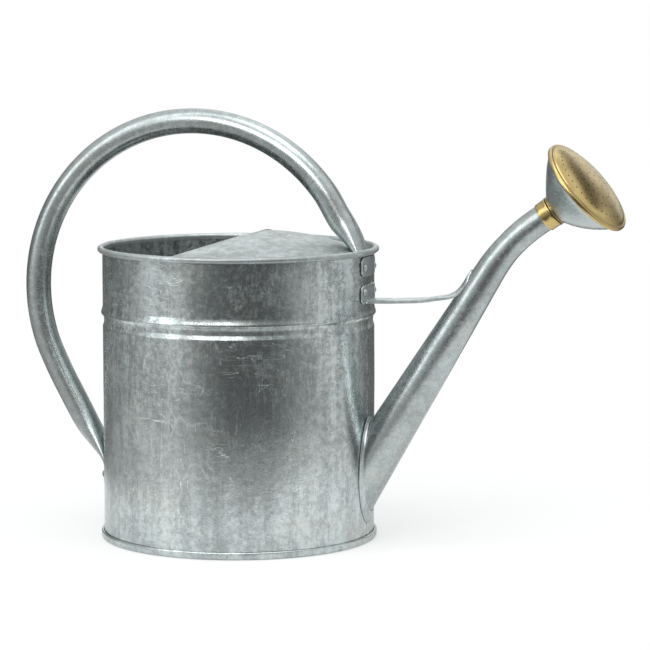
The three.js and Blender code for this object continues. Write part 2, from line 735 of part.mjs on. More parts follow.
const bowlProfile = [...bowlLine(0, 7), ...bowlLine(bowlWall, 7).reverse()];
add('rose_bowl', roseTurned(bowlProfile, roseSegments), smoothZinc, neckGroup);

// Brass face: a dome with a rim rolled over the bowl's edge, drilled in rings
const domeRadius = faceRadius - 3.4;
const domeFoot = 1.5;
const domeHeight = (r) => domeFoot + faceDome * Math.pow(Math.max(0, 1 - (r / domeRadius) ** 2), domePower);

function domeLine(offset, steps) {
  const points = [];
  for (let i = 0; i <= steps; i++) {
    const r = domeRadius * Math.sin((i / steps) * Math.PI / 2);
    points.push([r, domeHeight(r) - offset]);
  }
  return points;
}

const lipIn = bowlRadius + gap;
const faceProfile = [
  ...domeLine(0, 6), [faceRadius - 2.2, domeFoot - 0.5], [faceRadius - 0.8, domeFoot - 0.7],
  [faceRadius, domeFoot - 1.8], [faceRadius - 0.1, -1.6], [faceRadius - 0.9, -2.4], [lipIn, -2.3],
  [lipIn, -1.7], [faceRadius - 1, -1.5], [faceRadius - 0.7, -0.5], [faceRadius - 1.3, 0.2],
  [faceRadius - 2.6, gap], [domeRadius - 0.3, domeFoot - faceSheet - 0.1],
  ...domeLine(faceSheet, 6).reverse().slice(1),
];

function facePlace(x, y, z) {
  const tipAxis = new THREE.Vector3(Math.cos(radians(faceTurn)), Math.sin(radians(faceTurn)), 0);
  const spot = new THREE.Vector3(x, y, z).applyAxisAngle(tipAxis, radians(faceTilt));
  spot.z += rimStation;
  return new THREE.Matrix4().makeRotationAxis(tipAxis, radians(faceTilt)).setPosition(spot);
}

function waterHole(x, y) {
  const bit = new THREE.CylinderGeometry(holeRadius, holeRadius, 8, 6);
  bit.rotateX(Math.PI / 2);
  bit.applyMatrix4(facePlace(x, y, domeHeight(Math.hypot(x, y))));
  return solid(bit);
}

const holes = [waterHole(0, 0)];
for (let ring = 1; ring <= holeRings; ring++) {
  for (let i = 0; i < ring * holesPerRing; i++) {
    const turn = (i / (ring * holesPerRing)) * Math.PI * 2 + ring * 0.2;
    const r = ring * holeRingStep;
    holes.push(waterHole(r * Math.cos(turn), r * Math.sin(turn)));
  }
}

const faceSolid = solid(turned(faceProfile, roseSegments));
const placed = facePlace(0, 0, 0).elements;
const face = holes.reduce((left, hole) => left.subtract(hole), faceSolid.transform(Array.from(placed)));
add('rose_face', face, brass, neckGroup);

// The origin is the middle of the finished part's box, on the ground
group.updateMatrixWorld(true);
const box = new THREE.Box3().setFromObject(group, true);
group.position.x = -(box.min.x + box.max.x) / 2;
group.position.y = -(box.min.y + box.max.y) / 2;

export default group;
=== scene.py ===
"""A galvanised steel watering can with a brass faced rose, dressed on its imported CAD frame."""
from functools import partial
from math import acos, asin, copysign, cos, degrees, hypot, pi, radians, sin, sqrt

import bmesh
import bpy
import numpy as np
from mathutils import Matrix, Vector, noise


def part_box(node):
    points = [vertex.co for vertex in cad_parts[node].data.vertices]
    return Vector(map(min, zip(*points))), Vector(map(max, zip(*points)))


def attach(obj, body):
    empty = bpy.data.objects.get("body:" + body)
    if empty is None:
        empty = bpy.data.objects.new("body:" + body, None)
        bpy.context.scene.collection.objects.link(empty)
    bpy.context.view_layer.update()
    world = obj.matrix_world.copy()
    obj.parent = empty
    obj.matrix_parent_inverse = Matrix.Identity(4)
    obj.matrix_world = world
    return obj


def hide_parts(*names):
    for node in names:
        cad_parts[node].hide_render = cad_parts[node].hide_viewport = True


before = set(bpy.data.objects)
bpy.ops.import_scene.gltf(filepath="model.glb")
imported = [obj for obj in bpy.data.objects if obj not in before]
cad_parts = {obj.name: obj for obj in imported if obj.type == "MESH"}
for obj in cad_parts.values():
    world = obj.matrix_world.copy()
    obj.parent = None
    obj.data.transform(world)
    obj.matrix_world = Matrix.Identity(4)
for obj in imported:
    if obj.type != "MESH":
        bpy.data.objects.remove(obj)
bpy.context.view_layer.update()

# Sizes in millimetres, on the can's own axis, as the CAD has them
MM = 0.001
BODY_R = 110.0
SHEET = 0.8
GAP = 0.3
RIM_H = 236.6
RIM_ROLL = 2.5
BEAD_Z = 181.0
SEAM_H = 5.8
FOOT_R = 112.05
INNER_R = BODY_R - SHEET
PLATE = 0.9
PLATE_HALF = 18.5
SEGMENTS = 288
RIM_TUBE = INNER_R + RIM_ROLL - 0.3
RIM_TUBE_Z = RIM_H - RIM_ROLL
WIRE_R = 1.35

pan_low, pan_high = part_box("base_pan")
AXIS_X = (pan_low.x + pan_high.x) / 2 / MM

CAN = "can"
ROSE = "rose"
WASHER = "washer"
UP = Vector((0, 0, 1))


# Camera

CAMERA_X = 774.08
CAMERA_Y = -2222.7
CAMERA_Z = 451.8
CAMERA_HEADING = radians(17.5)
CAMERA_PITCH = radians(6.799)
CAMERA_LENS = 162.0
CAMERA_SIDE = radians(-70.8)


def into_scene(name, data):
    made = bpy.data.objects.new(name, data)
    bpy.context.scene.collection.objects.link(made)
    return made


def add_camera():
    """The camera of the photograph, solved from the ellipses of the rim and the foot."""
    level = cos(CAMERA_PITCH)
    look = Vector((-sin(CAMERA_HEADING) * level, cos(CAMERA_HEADING) * level, -sin(CAMERA_PITCH)))
    data = bpy.data.cameras.new("camera")
    data.lens = CAMERA_LENS
    data.clip_end = 50
    camera = into_scene("camera", data)
    camera.location = Vector((CAMERA_X + AXIS_X, CAMERA_Y, CAMERA_Z)) * MM
    camera.rotation_euler = look.to_track_quat("-Z", "Y").to_euler()
    bpy.context.scene.camera = camera


# Node helpers

def new_material(name):
    material = bpy.data.materials.new(name)
    material.use_nodes = True
    tree = material.node_tree
    return material, tree, tree.nodes["Principled BSDF"]


def feed(made, key, value):
    """Links a socket to a node's input, or sets the input to a value."""
    if isinstance(value, bpy.types.NodeSocket):
        made.id_data.links.new(value, made.inputs[key])
    else:
        made.inputs[key].default_value = value


def put(tree, kind, inputs=None, **settings):
    made = tree.nodes.new("ShaderNode" + kind)
    for key, value in settings.items():
        setattr(made, key, value)
    for key, value in (inputs or {}).items():
        feed(made, key, value)
    return made


def maths(operation, first, second=0.5):
    """A maths node, in the tree of whichever value is a socket."""
    tree = first.id_data if isinstance(first, bpy.types.NodeSocket) else second.id_data
    return put(tree, "Math", {0: first, 1: second}, operation=operation).outputs[0]


add = partial(maths, "ADD")
minus = partial(maths, "SUBTRACT")
times = partial(maths, "MULTIPLY")
larger = partial(maths, "MAXIMUM")


def vector_length(vector):
    return put(vector.id_data, "VectorMath", {0: vector}, operation="LENGTH").outputs["Value"]


def dot_product(first, second):
    inputs = {0: first, 1: second}
    return put(first.id_data, "VectorMath", inputs, operation="DOT_PRODUCT").outputs["Value"]


def object_place(tree):
    return put(tree, "TexCoord").outputs["Object"]


def add_bump(shader, strength, distance, height):
    inputs = {"Strength": strength, "Distance": distance, "Height": height}
    feed(shader, "Normal", put(shader.id_data, "Bump", inputs).outputs[0])


def span(value, low, high, to_low=0.0, to_high=1.0):
    inputs = {"Value": value, "From Min": low, "From Max": high, "To Min": to_low, "To Max": to_high}
    return put(value.id_data, "MapRange", inputs, interpolation_type="SMOOTHSTEP").outputs[0]


def blend(factor, first, second, mode="MIX"):
    inputs = {0: factor, 6: first, 7: second}
    return put(factor.id_data, "Mix", inputs, data_type="RGBA", blend_type=mode).outputs[2]


def cloud(where, scale, detail=4.0, rough=0.6, twist=0.0):
    inputs = {"Vector": where, "Scale": scale, "Detail": detail, "Roughness": rough, "Distortion": twist}
    return put(where.id_data, "TexNoise", inputs).outputs["Fac"]


def stretched(where, turn, stretch):
    inputs = {"Vector": where, "Rotation": turn, "Scale": stretch}
    return put(where.id_data, "Mapping", inputs).outputs[0]


def voronoi(where, scale):
    return put(where.id_data, "TexVoronoi", {"Vector": where, "Scale": scale}).outputs


def coordinates(where):
    return put(where.id_data, "SeparateXYZ", {0: where}).outputs


# Materials

BLOTCHES_SHOW = 0.25
PATCHES_SHOW = 0.16
GRAINS_SHOW = 0.4
SPANGLE_SHOWS = 0.06
FINE_SHOWS = 1.1
TONE_LOW = 0.1
TONE_HIGH = 0.9
RIM_FROM = RIM_H - 6.0
RIM_FULL = RIM_H - 4.5
WALL_INNER_TO = BODY_R - 0.75
WALL_OUTER_FROM = BODY_R - 0.45
WARM_TINT = (1.0, 0.955, 0.9, 1)
BRASS_DARK = (0.42, 0.305, 0.12, 1)
BRASS_LIGHT = (0.6, 0.45, 0.2, 1)
BRASS_SCRATCH = (0.85, 0.74, 0.5, 1)
RUBBER_DARK = (0.012, 0.012, 0.012, 1)
RUBBER_LIGHT = (0.05, 0.05, 0.048, 1)


def grey(level):
    """Zinc's grey, with a little less red than green and blue."""
    return (level * 0.92, level, level, 1.0)


def scratch_lines(where, turn, stretch, width, mask_scale, mask_from):
    """Thin lines where a stretched noise crosses its middle, kept in patches."""
    field = cloud(stretched(where, turn, stretch), 1.0, 2.0, 0.45, 0.25)
    distance = maths("ABSOLUTE", minus(field, 0.5))
    line = span(distance, 0.0, width, 1.0, 0.0)
    mask = span(cloud(where, mask_scale, 3.0), mask_from, mask_from + 0.1)
    return times(line, mask)


def zinc_tone(where, mottle, streak):
    """How light the zinc is, with the patches and the finest grain that it is made of."""
    blotches = span(cloud(where, 17.0, 5.0, 0.55, 0.4), 0.36, 0.66)
    patches = span(cloud(where, 62.0, 7.0, 0.7, 0.3), 0.34, 0.68)
    grains = span(cloud(where, 210.0, 7.0, 0.76), 0.36, 0.64)
    fine = cloud(where, 900.0, 5.0, 0.72)
    down = stretched(where, (0, 0, 0), (120.0, 120.0, 7.0))
    streaks = span(cloud(down, 1.0, 4.0, 0.6), 0.35, 0.7)
    crystals = voronoi(where, 260.0)["Color"]
    spangle = put(where.id_data, "SeparateColor", {0: crystals}).outputs[0]
    shown = ((blotches, BLOTCHES_SHOW), (patches, PATCHES_SHOW), (grains, GRAINS_SHOW),
             (spangle, SPANGLE_SHOWS), (fine, FINE_SHOWS), (streaks, streak))
    tone = 0.5
    for field, weight in shown:
        tone = add(tone, times(minus(field, 0.5), weight * mottle))
    return tone, patches, fine


def wall_tone(tone, height, rim):
    """The wall is more uneven higher up, and its rim is even and a little darker."""
    contrast = span(height, 0.03, 0.2, 0.7, 1.3)
    contrast = times(contrast, minus(1.0, times(rim, 0.75)))
    tone = add(times(minus(tone, 0.5), contrast), 0.5)
    return minus(tone, times(rim, 0.12))


def zinc_scratches(where, strength):
    """Two sets of scratches that cross, and faint long hairs."""
    steep = scratch_lines(where, (0.3, 0.2, 0.4), (26.0, 26.0, 190.0), 0.006, 26.0, 0.5)
    crossing = scratch_lines(where, (0.9, -0.5, 1.2), (210.0, 30.0, 24.0), 0.005, 31.0, 0.52)
    hairs = scratch_lines(where, (0.5, 0.9, -0.4), (22.0, 460.0, 22.0), 0.02, 15.0, 0.42)
    return times(larger(larger(steep, crossing), times(hairs, 0.3)), strength)


def zinc_colour(where, tone, light, dark, scored, painted_reflection):
    """Grey by the tone, with the painted dark reflection on the wall, pale scratches, dark specks and a warm
    tint in places.
    """
    colour = blend(span(tone, TONE_LOW, TONE_HIGH), grey(dark), grey(light))
    if painted_reflection:
        # Painted dark reflection: the wall is darkened where it faces the dark front of the studio.
        colour = blend(painted_dark_reflection(where, **painted_reflection), colour, grey(dark * 0.55))
    colour = blend(scored, colour, grey(min(light * 1.35, 0.95)))
    rare = span(cloud(where, 70.0, 2.0), 0.6, 0.68)
    specks = times(span(voronoi(where, 95.0)["Distance"], 0.05, 0.11, 1.0, 0.0), rare)
    colour = blend(times(specks, 0.75), colour, grey(dark * 0.3))
    warm = times(span(cloud(where, 33.0, 5.0, 0.65), 0.48, 0.66), 0.45)
    return blend(warm, colour, WARM_TINT, "MULTIPLY")


def oxide_film(where, height, oxide, scored):
    """Where a dull film or a scratch hides the bare metal, less of it low down."""
    film = cloud(where, 250.0, 12.0, 0.82, 0.2)
    broad = times(minus(cloud(where, 21.0, 3.0), 0.5), 0.3)
    dull = times(span(add(film, broad), 0.45, 0.62), oxide)
    dull = times(dull, span(height, 0.03, 0.2, 0.45, 1.0))
    return larger(dull, times(scored, 0.36))


def inner_film(place, tone):
    """The film on the wall's inner side."""
    across = minus(place[0], AXIS_X * MM)
    reach = put(across.id_data, "CombineXYZ", {0: across, 1: place[1]}).outputs[0]
    inside = span(vector_length(reach), WALL_INNER_TO * MM, WALL_OUTER_FROM * MM, 0.3, 0.0)
    return times(inside, span(tone, TONE_LOW, TONE_HIGH, 0.4, 1.2))


def zinc(name, light, dark, smooth=0.3, coarse=0.42, mottle=0.8, scratches=0.3, oxide=0.3, streak=0.3,
         bump=0.08, painted_reflection=None):
    """Aged galvanised steel. Only the wall has a painted dark reflection, a rim and an inner side."""
    material, tree, shader = new_material(name)
    where = object_place(tree)
    place = coordinates(where)
    tone, patches, fine = zinc_tone(where, mottle, streak)
    if painted_reflection:
        rim = span(place[2], RIM_FROM * MM, RIM_FULL * MM)
        tone = wall_tone(tone, place[2], rim)
    scored = zinc_scratches(where, scratches)
    feed(shader, "Base Color", zinc_colour(where, tone, light, dark, scored, painted_reflection))

    dull = oxide_film(where, place[2], oxide, scored)
    rough = add(span(tone, TONE_LOW, TONE_HIGH, coarse, smooth), times(minus(fine, 0.5), 0.16))
    if painted_reflection:
        dull = larger(dull, inner_film(place, tone))
        dull = larger(dull, times(rim, 0.3))
        rough = add(rough, times(rim, 0.1))
    feed(shader, "Roughness", add(rough, times(dull, 0.25)))
    feed(shader, "Metallic", span(dull, 0.0, 1.0, 0.96, 0.25))
    height = add(times(fine, 0.5), times(patches, 0.6))
    add_bump(shader, bump, 0.0006, minus(height, times(scored, 0.8)))
    return material


def painted_dark_reflection(where, turn, width, low, high, depth):
    """A painted dark reflection on the wall, darker where the wall faces the studio's dark front, by the
    angle round the can and the height.
    """
    place = coordinates(where)
    angle = maths("ARCTAN2", place[1], minus(place[0], AXIS_X * MM))
    ragged = times(minus(cloud(where, 110.0, 9.0, 0.8), 0.5), 1.3)
    away = maths("ABSOLUTE", minus(angle, radians(turn)))
    across = span(add(away, ragged), width * 0.45, width * 1.25, 1.0, 0.0)
    height = add(place[2], times(ragged, 0.09))
    above = span(height, low - 0.02, low + 0.03)
    below = span(height, high - 0.02, high + 0.03, 1.0, 0.0)
    return times(times(across, times(above, below)), depth)


def brass_material():
    material, tree, shader = new_material("worn_brass")
    where = object_place(tree)
    blotches = cloud(where, 60.0, 5.0, 0.6, 0.4)
    fine = cloud(where, 900.0, 4.0, 0.7)
    tone = add(times(blotches, 0.7), times(fine, 0.3))
    colour = blend(span(tone, 0.3, 0.7), BRASS_DARK, BRASS_LIGHT)
    lines = scratch_lines(where, (0.5, 0.4, 0.1), (60.0, 500.0, 60.0), 0.008, 50.0, 0.48)
    feed(shader, "Base Color", blend(times(lines, 0.35), colour, BRASS_SCRATCH))
    feed(shader, "Roughness", span(tone, 0.3, 0.7, 0.26, 0.17))
    feed(shader, "Metallic", 1.0)
    add_bump(shader, 0.06, 0.0004, fine)
    return material


def rubber_material():
    material, tree, shader = new_material("washer_rubber")
    fine = cloud(object_place(tree), 700.0, 4.0, 0.7)
    feed(shader, "Base Color", blend(fine, RUBBER_DARK, RUBBER_LIGHT))
    feed(shader, "Roughness", span(fine, 0.3, 0.7, 0.6, 0.85))
    add_bump(shader, 0.2, 0.0003, fine)
    return material


# Mesh helpers

def quads(rows, columns, wrap_rows):
    """Faces between rings of points, and from the last ring to the first where they wrap."""
    faces = []
    for i in range(rows if wrap_rows else rows - 1):
        for j in range(columns):
            k = (i + 1) % rows
            m = (j + 1) % columns
            faces.append((i * columns + j, i * columns + m, k * columns + m, k * columns + j))
    return faces


def tube_faces(rings):
    """The sides and the two ends of a closed tube."""
    sides = len(rings[0])
    far = (len(rings) - 1) * sides
    return quads(len(rings), sides, False) + [tuple(range(sides)), tuple(range(far, far + sides))]


def sheet_faces(rings):
    """The sides of a strip of sheet, and its ends closed between the upper and the lower side."""
    sides = len(rings[0])
    faces = quads(len(rings), sides, False)
    for j in range(sides // 2 - 1):
        mate = sides - 1 - j
        for start in (0, (len(rings) - 1) * sides):
            faces.append((start + j, start + j + 1, start + mate - 1, start + mate))
    return faces


def joined(rings):
    return [point for ring in rings for point in ring]


def heading_at(path, index):
    """The direction of a path of points at one of them."""
    before = Vector(path[max(index - 1, 0)])
    after = Vector(path[min(index + 1, len(path) - 1)])
    return (after - before).normalized()


def clean_mesh(name, points, faces, merge):
    """A mesh from points in millimetres on the can's axis, with its faces turned outwards."""
    placed = (np.asarray(points, float).reshape(-1, 3) + [AXIS_X, 0, 0]) * MM
    mesh = bpy.data.meshes.new(name)
    mesh.from_pydata(placed.tolist(), [], faces)
    made = bmesh.new()
    made.from_mesh(mesh)
    if merge:
        bmesh.ops.remove_doubles(made, verts=made.verts, dist=1e-6)
    bmesh.ops.recalc_face_normals(made, faces=made.faces)
    made.to_mesh(mesh)
    made.free()
    return mesh


def piece(name, points, faces, body, material, nodes=(), sharp=32.0):
    """A visible piece that rides on a body and takes the place of CAD nodes."""
    mesh = clean_mesh(name, points, faces, True)
    shade(mesh, sharp)
    mesh.materials.append(material)
    obj = into_scene(name, mesh)
    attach(obj, body)
    if nodes:
        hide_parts(*nodes)
    return obj


def shade(mesh, sharp):
    mesh.shade_smooth()
    mesh.set_sharp_from_angle(angle=radians(sharp))


def cut(obj, cutters, sharp=32.0):
    """Cuts closed meshes, given as points and faces, out of an object."""
    points = []
    faces = []
    for corners, polygons in cutters:
        faces += [tuple(len(points) + index for index in polygon) for polygon in polygons]
        points += corners
    tool = into_scene("cutter", clean_mesh("cutter", points, faces, False))
    modifier = obj.modifiers.new("cut", "BOOLEAN")
    modifier.operation = "DIFFERENCE"
    modifier.solver = "EXACT"
    modifier.object = tool
    bpy.context.view_layer.update()
    evaluated = obj.evaluated_get(bpy.context.evaluated_depsgraph_get())
    result = bpy.data.meshes.new_from_object(evaluated)
    obj.modifiers.clear()
    old = obj.data
    obj.data = result
    bpy.data.meshes.remove(old)
    bpy.data.objects.remove(tool)
    shade(obj.data, sharp)


def ring_points(profile, turns, bump=None):
    """Turns a closed profile of (radius, height) about the axis at the given angles."""
    points = []
    for turn in turns:
        for r, z in profile:
            reach = r + bump(turn, r, z) if bump else r
            points.append((reach * cos(turn), reach * sin(turn), z))
    return points


def arc(centre_r, centre_z, radius, start, end, steps):
    turns = np.radians(np.linspace(start, end, steps + 1))
    return [(centre_r + radius * cos(t), centre_z + radius * sin(t)) for t in turns]


def smoothstep(value, low, high):
    share = min(max((value - low) / (high - low), 0.0), 1.0)
    return share * share * (3 - 2 * share)


def between(start, end, share):
    return start + (end - start) * share


def hermite(w, start, end, leave, arrive):
    """A cubic from one value to another, with the slopes at which it leaves and arrives."""
    return ((2 * w ** 3 - 3 * w ** 2 + 1) * start + (w ** 3 - 2 * w ** 2 + w) * leave
            + (3 * w ** 2 - 2 * w ** 3) * end + (w ** 3 - w ** 2) * arrive)


def even_turns(count):
    return [2 * pi * i / count for i in range(count)]


def revolve(name, profile, body, material, nodes=(), count=SEGMENTS, bump=None, place=None, sharp=32.0):
    turns = even_turns(count)
    points = ring_points(profile, turns, bump)
    if place:
        points = [place(*p) for p in points]
    faces = quads(count, len(profile), True)
    return piece(name, points, faces, body, material, nodes, sharp)


# Body

SEAM_TURNS = (radians(-1.6), radians(178.0))
SEAM_STEP = 0.45
SEAM_WIDTH = 9.0


def body_turns():
    """Even angles, with a few more at each lap seam so that its edge is crisp."""
    turns = set(round(t, 6) for t in even_turns(SEGMENTS))
    for seam in SEAM_TURNS:
        for offset in (-0.5, -0.12, 0.12, 0.5, SEAM_WIDTH):
            turns.add(round((seam + offset / BODY_R) % (2 * pi), 6))
    return sorted(turns)


def wall_waves(turn, r, z):
    """Slight unevenness of the sheet, and the step of each lap seam."""
    if z < SEAM_H + 2:
        return 0.0
    p = Vector((cos(turn) * 2.2, sin(turn) * 2.2, z / 52.0))
    fade = smoothstep(z, SEAM_H + 2, 30)
    lift = (noise.noise(p) * 0.28 + noise.noise(p * 2.7) * 0.1) * fade
    for seam in SEAM_TURNS:
        along = ((turn - seam + pi) % (2 * pi) - pi) * BODY_R
        step = smoothstep(along, -0.12, 0.12) * (1 - smoothstep(along, SEAM_WIDTH, SEAM_WIDTH * 2.2))
        lift += step * SEAM_STEP
    return lift - SEAM_STEP * 0.5


def bead(offset):
    """The double bead, rounded: a bulge above, a step in, and a slope back out."""
    heights = np.linspace(BEAD_Z - 9.6, BEAD_Z + 8.4, 34)
    knots = [(-9.6, 0), (-8.9, 0.0), (-7.6, -0.45), (-5.6, -1.1), (-4.9, -1.18), (-4.2, -1.1),
             (-2.2, -0.95), (-0.6, -0.55), (0.5, 0.3), (1.4, 1.15), (2.0, 1.3), (3.0, 1.15), (5.4, 0.45),
             (7.4, 0.05), (8.4, 0)]
    outs = np.interp(heights - BEAD_Z, *zip(*knots))
    return [(BODY_R - offset + out, z) for out, z in zip(outs, heights)]


def body_profile():
    """The wall's section: up the outside, round the rim's curl and down the inside."""
    inner = RIM_ROLL - 0.7
    meet = 180 + degrees(acos((RIM_TUBE - BODY_R) / inner))
    foot = 1.1
    curl = -112
    wall = [(BODY_R, z) for z in np.linspace(foot, BEAD_Z - 12, 16)]
    upper = [(BODY_R, z) for z in np.linspace(BEAD_Z + 10, RIM_TUBE_Z - 3.2, 6)]
    roll = arc(RIM_TUBE, RIM_TUBE_Z, inner, meet, curl, 16)
    roll += arc(RIM_TUBE, RIM_TUBE_Z, RIM_ROLL, curl, 180, 26)
    inside = [(INNER_R, z) for z in np.linspace(RIM_TUBE_Z - RIM_ROLL, BEAD_Z + 10, 5)]
    down = [(INNER_R, z) for z in np.linspace(BEAD_Z - 12, foot, 12)]
    return wall + bead(0) + upper + roll + inside + bead(SHEET)[::-1] + down


def add_body(material):
    profile = body_profile()
    turns = body_turns()
    points = ring_points(profile, turns, wall_waves)
    faces = quads(len(turns), len(profile), True)
    body = piece("body_skin", points, faces, CAN, material, ("body_shell",), 40.0)
    cut(body, [spout_loft(-SHEET, ROOT_INSIDE, 60, 12)], 40.0)
    add_base(material)
    wire = arc(RIM_TUBE, RIM_TUBE_Z, WIRE_R, 0, 330, 11)
    revolve("rim_wire_skin", wire, CAN, material, ("rim_wire",), count=144)


def add_base(material):
    """The recessed base, whose edge is folded round the wall's foot."""
    seat = INNER_R - GAP - SHEET
    fold = [(0.0, 7.0), (0.0, 6.2), (seat - 3, 6.2)] + arc(seat - 3, 3.2, 3.0, 90, 0, 5)
    fold += arc(seat + SHEET, SHEET, SHEET, 180, 270, 4) + arc(FOOT_R - 1.4, 1.4, 1.4, 270, 360, 6)
    fold += arc(FOOT_R - 1.2, SEAM_H - 1.2, 1.2, 0, 90, 6)
    fold += [(BODY_R + GAP + 0.1, SEAM_H), (BODY_R + GAP, SEAM_H - 0.3), (BODY_R + GAP, SHEET)]
    fold += [(INNER_R - GAP, SHEET), (INNER_R - GAP, 3.6)] + arc(seat - 3, 3.8, 3.2, 0, 90, 5)
    fold += [(60.0, 7.0), (20.0, 7.0)]
    revolve("base_skin", fold, CAN, material, ("base_pan",), sharp=40.0)


# Spout

ROOT_Z = 60.3
ROOT_SLOPE = radians(58.3)
STRAIGHT = 189.0
BEND_R = 135.0
NECK_SLOPE = radians(35.5)
ROOT_R = 19.4
ROOT_NARROW = 2.4
END_R = 11.0
TAPER_END = 215.0
BEND_LENGTH = BEND_R * (ROOT_SLOPE - NECK_SLOPE)
SPOUT_LENGTH = STRAIGHT + BEND_LENGTH + 12.0
ROOT_INSIDE = -42


def spout_point(along):
    """The spout's middle line: a straight run, a bend, and a short straight neck."""
    straight = min(along, STRAIGHT)
    bent = min(max(along - STRAIGHT, 0.0), BEND_LENGTH)
    beyond = max(0.0, along - STRAIGHT - BEND_LENGTH)
    slope = ROOT_SLOPE - bent / BEND_R
    x = BODY_R + straight * cos(ROOT_SLOPE)
    x += BEND_R * (sin(ROOT_SLOPE) - sin(slope)) + beyond * cos(slope)
    z = ROOT_Z + straight * sin(ROOT_SLOPE)
    z += BEND_R * (cos(slope) - cos(ROOT_SLOPE)) + beyond * sin(slope)
    return x, z, slope


def spout_radius(along):
    return between(ROOT_R, END_R, min(max(along / TAPER_END, -0.25), 1.0))


def spout_spot(along, grow, turn):
    """A point of the spout's skin, grown a little; the tube is a little narrow at its root."""
    x, z, slope = spout_point(along)
    tall = spout_radius(along) + grow
    wide = tall - ROOT_NARROW * (1 - smoothstep(along, 0, TAPER_END * 0.6))
    lift = cos(turn) * tall
    return x - sin(slope) * lift, sin(turn) * wide, z + cos(slope) * lift


def spout_ring(along, grow, sides):
    return [spout_spot(along, grow, turn) for turn in even_turns(sides)]


def spout_loft(grow, start, end, steps, sides=48):
    rings = [spout_ring(along, grow, sides) for along in np.linspace(start, end, steps + 1)]
    return joined(rings), tube_faces(rings)


def cylinder(radius, low, high, count=SEGMENTS):
    bottom = [(radius * cos(t), radius * sin(t), low) for t in even_turns(count)]
    top = [(x, y, high) for x, y, _ in bottom]
    return bottom + top, tube_faces([bottom, top])


def add_spout(tube, fitting):
    sides = 96
    steps = 150
    outer = [spout_ring(along, 0.0, sides) for along in np.linspace(ROOT_INSIDE, SPOUT_LENGTH, steps)]
    inner = [spout_ring(along, -SHEET, sides) for along in np.linspace(SPOUT_LENGTH, ROOT_INSIDE, steps)]
    faces = quads(2 * steps, sides, True)
    spout = piece("spout_skin", outer + inner, faces, CAN, tube, ("spout_tube",))
    cut(spout, [cylinder(BODY_R + GAP, -30, RIM_H)])
    add_flange(fitting)


def root_curve(grow, out):
    """The closed curve where the spout, grown a little, meets a cylinder round the body."""
    curve = []
    for turn in even_turns(160):
        along = 0.0
        for _ in range(12):
            x, y, z = spout_spot(along, grow, turn)
            along += (BODY_R + out - hypot(x, y)) / cos(spout_point(along)[2]) * 0.8
        curve.append((x, y, z))
    return curve


def add_flange(material):
    """The soldered rim of sheet round the spout's root, with its rounded fillet."""
    section = [(0.3, 0.05), (3.2, 0.05), (3.3, 0.6), (2.9, 0.95), (2.0, 1.1), (1.1, 1.5), (0.55, 2.2),
               (0.32, 2.6)]
    loops = [root_curve(grow, out) for grow, out in section]
    points = []
    for spot in joined(loops):
        here = Vector(spot)
        points.append(tuple(here + UP * noise.noise(here * 0.35) * 0.12))
    faces = quads(len(loops), len(loops[0]), True)
    piece("spout_root_skin", points, faces, CAN, material, ("spout_flange",))


# Handle

TUBE_R = 10.2
FLAT = 1.6
HOOP_X = -37.4
HOOP_Z = 198.5
HOOP_R = 137.5
HOOP_FRONT = 26.0
HOOP_BACK = 208.5
FRONT_FLAT_X = INNER_R - GAP - FLAT
FRONT_FLAT_TOP = 225.0
FRONT_FLAT_END = 213.5
BACK_FLAT_TOP = 59.5
BACK_FLAT_END = 38.0
HANDLE_SHEET = 0.9
PLATE_FACE = BODY_R + GAP + PLATE + GAP
BACK_FLAT_X = -(PLATE_FACE + FLAT)


def hoop_point(angle):
    turn = radians(angle)
    return HOOP_X + HOOP_R * cos(turn), HOOP_Z + HOOP_R * sin(turn)


def handle_line():
    """Stations (x, z, half thickness) from the flat front end to the flat back end."""
    front_x, front_z = hoop_point(HOOP_FRONT)
    back_x, back_z = hoop_point(HOOP_BACK)
    fall = front_z - FRONT_FLAT_TOP
    reach = FRONT_FLAT_X - front_x
    stations = [(FRONT_FLAT_X, FRONT_FLAT_END, FLAT), (FRONT_FLAT_X, FRONT_FLAT_TOP, FLAT)]
    for out, drop, share in ((0.12, 0.8, 0.26), (0.36, 0.55, 0.55), (0.66, 0.28, 0.84)):
        stations.append((FRONT_FLAT_X - reach * out, front_z - fall * drop, between(FLAT, TUBE_R, share)))
    for angle in np.linspace(HOOP_FRONT, HOOP_BACK, 18):
        stations.append((*hoop_point(angle), TUBE_R))
    leg = back_z - BACK_FLAT_TOP
    inward = BACK_FLAT_X - back_x
    for out, drop, share in ((0.33, 0.38, 1.0), (0.6, 0.67, 0.9), (0.82, 0.86, 0.58), (0.96, 1.0, 0.2)):
        stations.append((back_x + inward * out, back_z - leg * drop, between(FLAT, TUBE_R, share)))
    stations += [(BACK_FLAT_X, back_z - leg * 1.08, FLAT), (BACK_FLAT_X, BACK_FLAT_END, FLAT)]
    return np.array(stations)


def refined(stations, steps):
    """Monotone cubic through the stations, by arc length."""
    lengths = np.r_[0, np.cumsum(np.hypot(np.diff(stations[:, 0]), np.diff(stations[:, 1])))]
    fine = np.linspace(0, lengths[-1], steps)
    columns = []
    for k in range(stations.shape[1]):
        values = stations[:, k]
        slopes = np.diff(values) / np.diff(lengths)
        tangent = np.r_[slopes[0], (slopes[1:] + slopes[:-1]) / 2, slopes[-1]]
        flat = np.r_[False, slopes[1:] * slopes[:-1] <= 0, False]
        tangent[flat] = 0 if k == 2 else tangent[flat]
        index = np.clip(np.searchsorted(lengths, fine) - 1, 0, len(slopes) - 1)
        width = lengths[index + 1] - lengths[index]
        columns.append(hermite((fine - lengths[index]) / width, values[index], values[index + 1],
                               width * tangent[index], width * tangent[index + 1]))
    return np.array(columns).T


def spread_of(half):
    """Half the width of the tube where it is pressed to a half thickness, with the same girth."""
    inner = max(2 * TUBE_R ** 2 - half ** 2, 0)
    return sqrt(inner) * 0.5 + TUBE_R * pi / 4 * (1 - half / TUBE_R) + half * 0.5


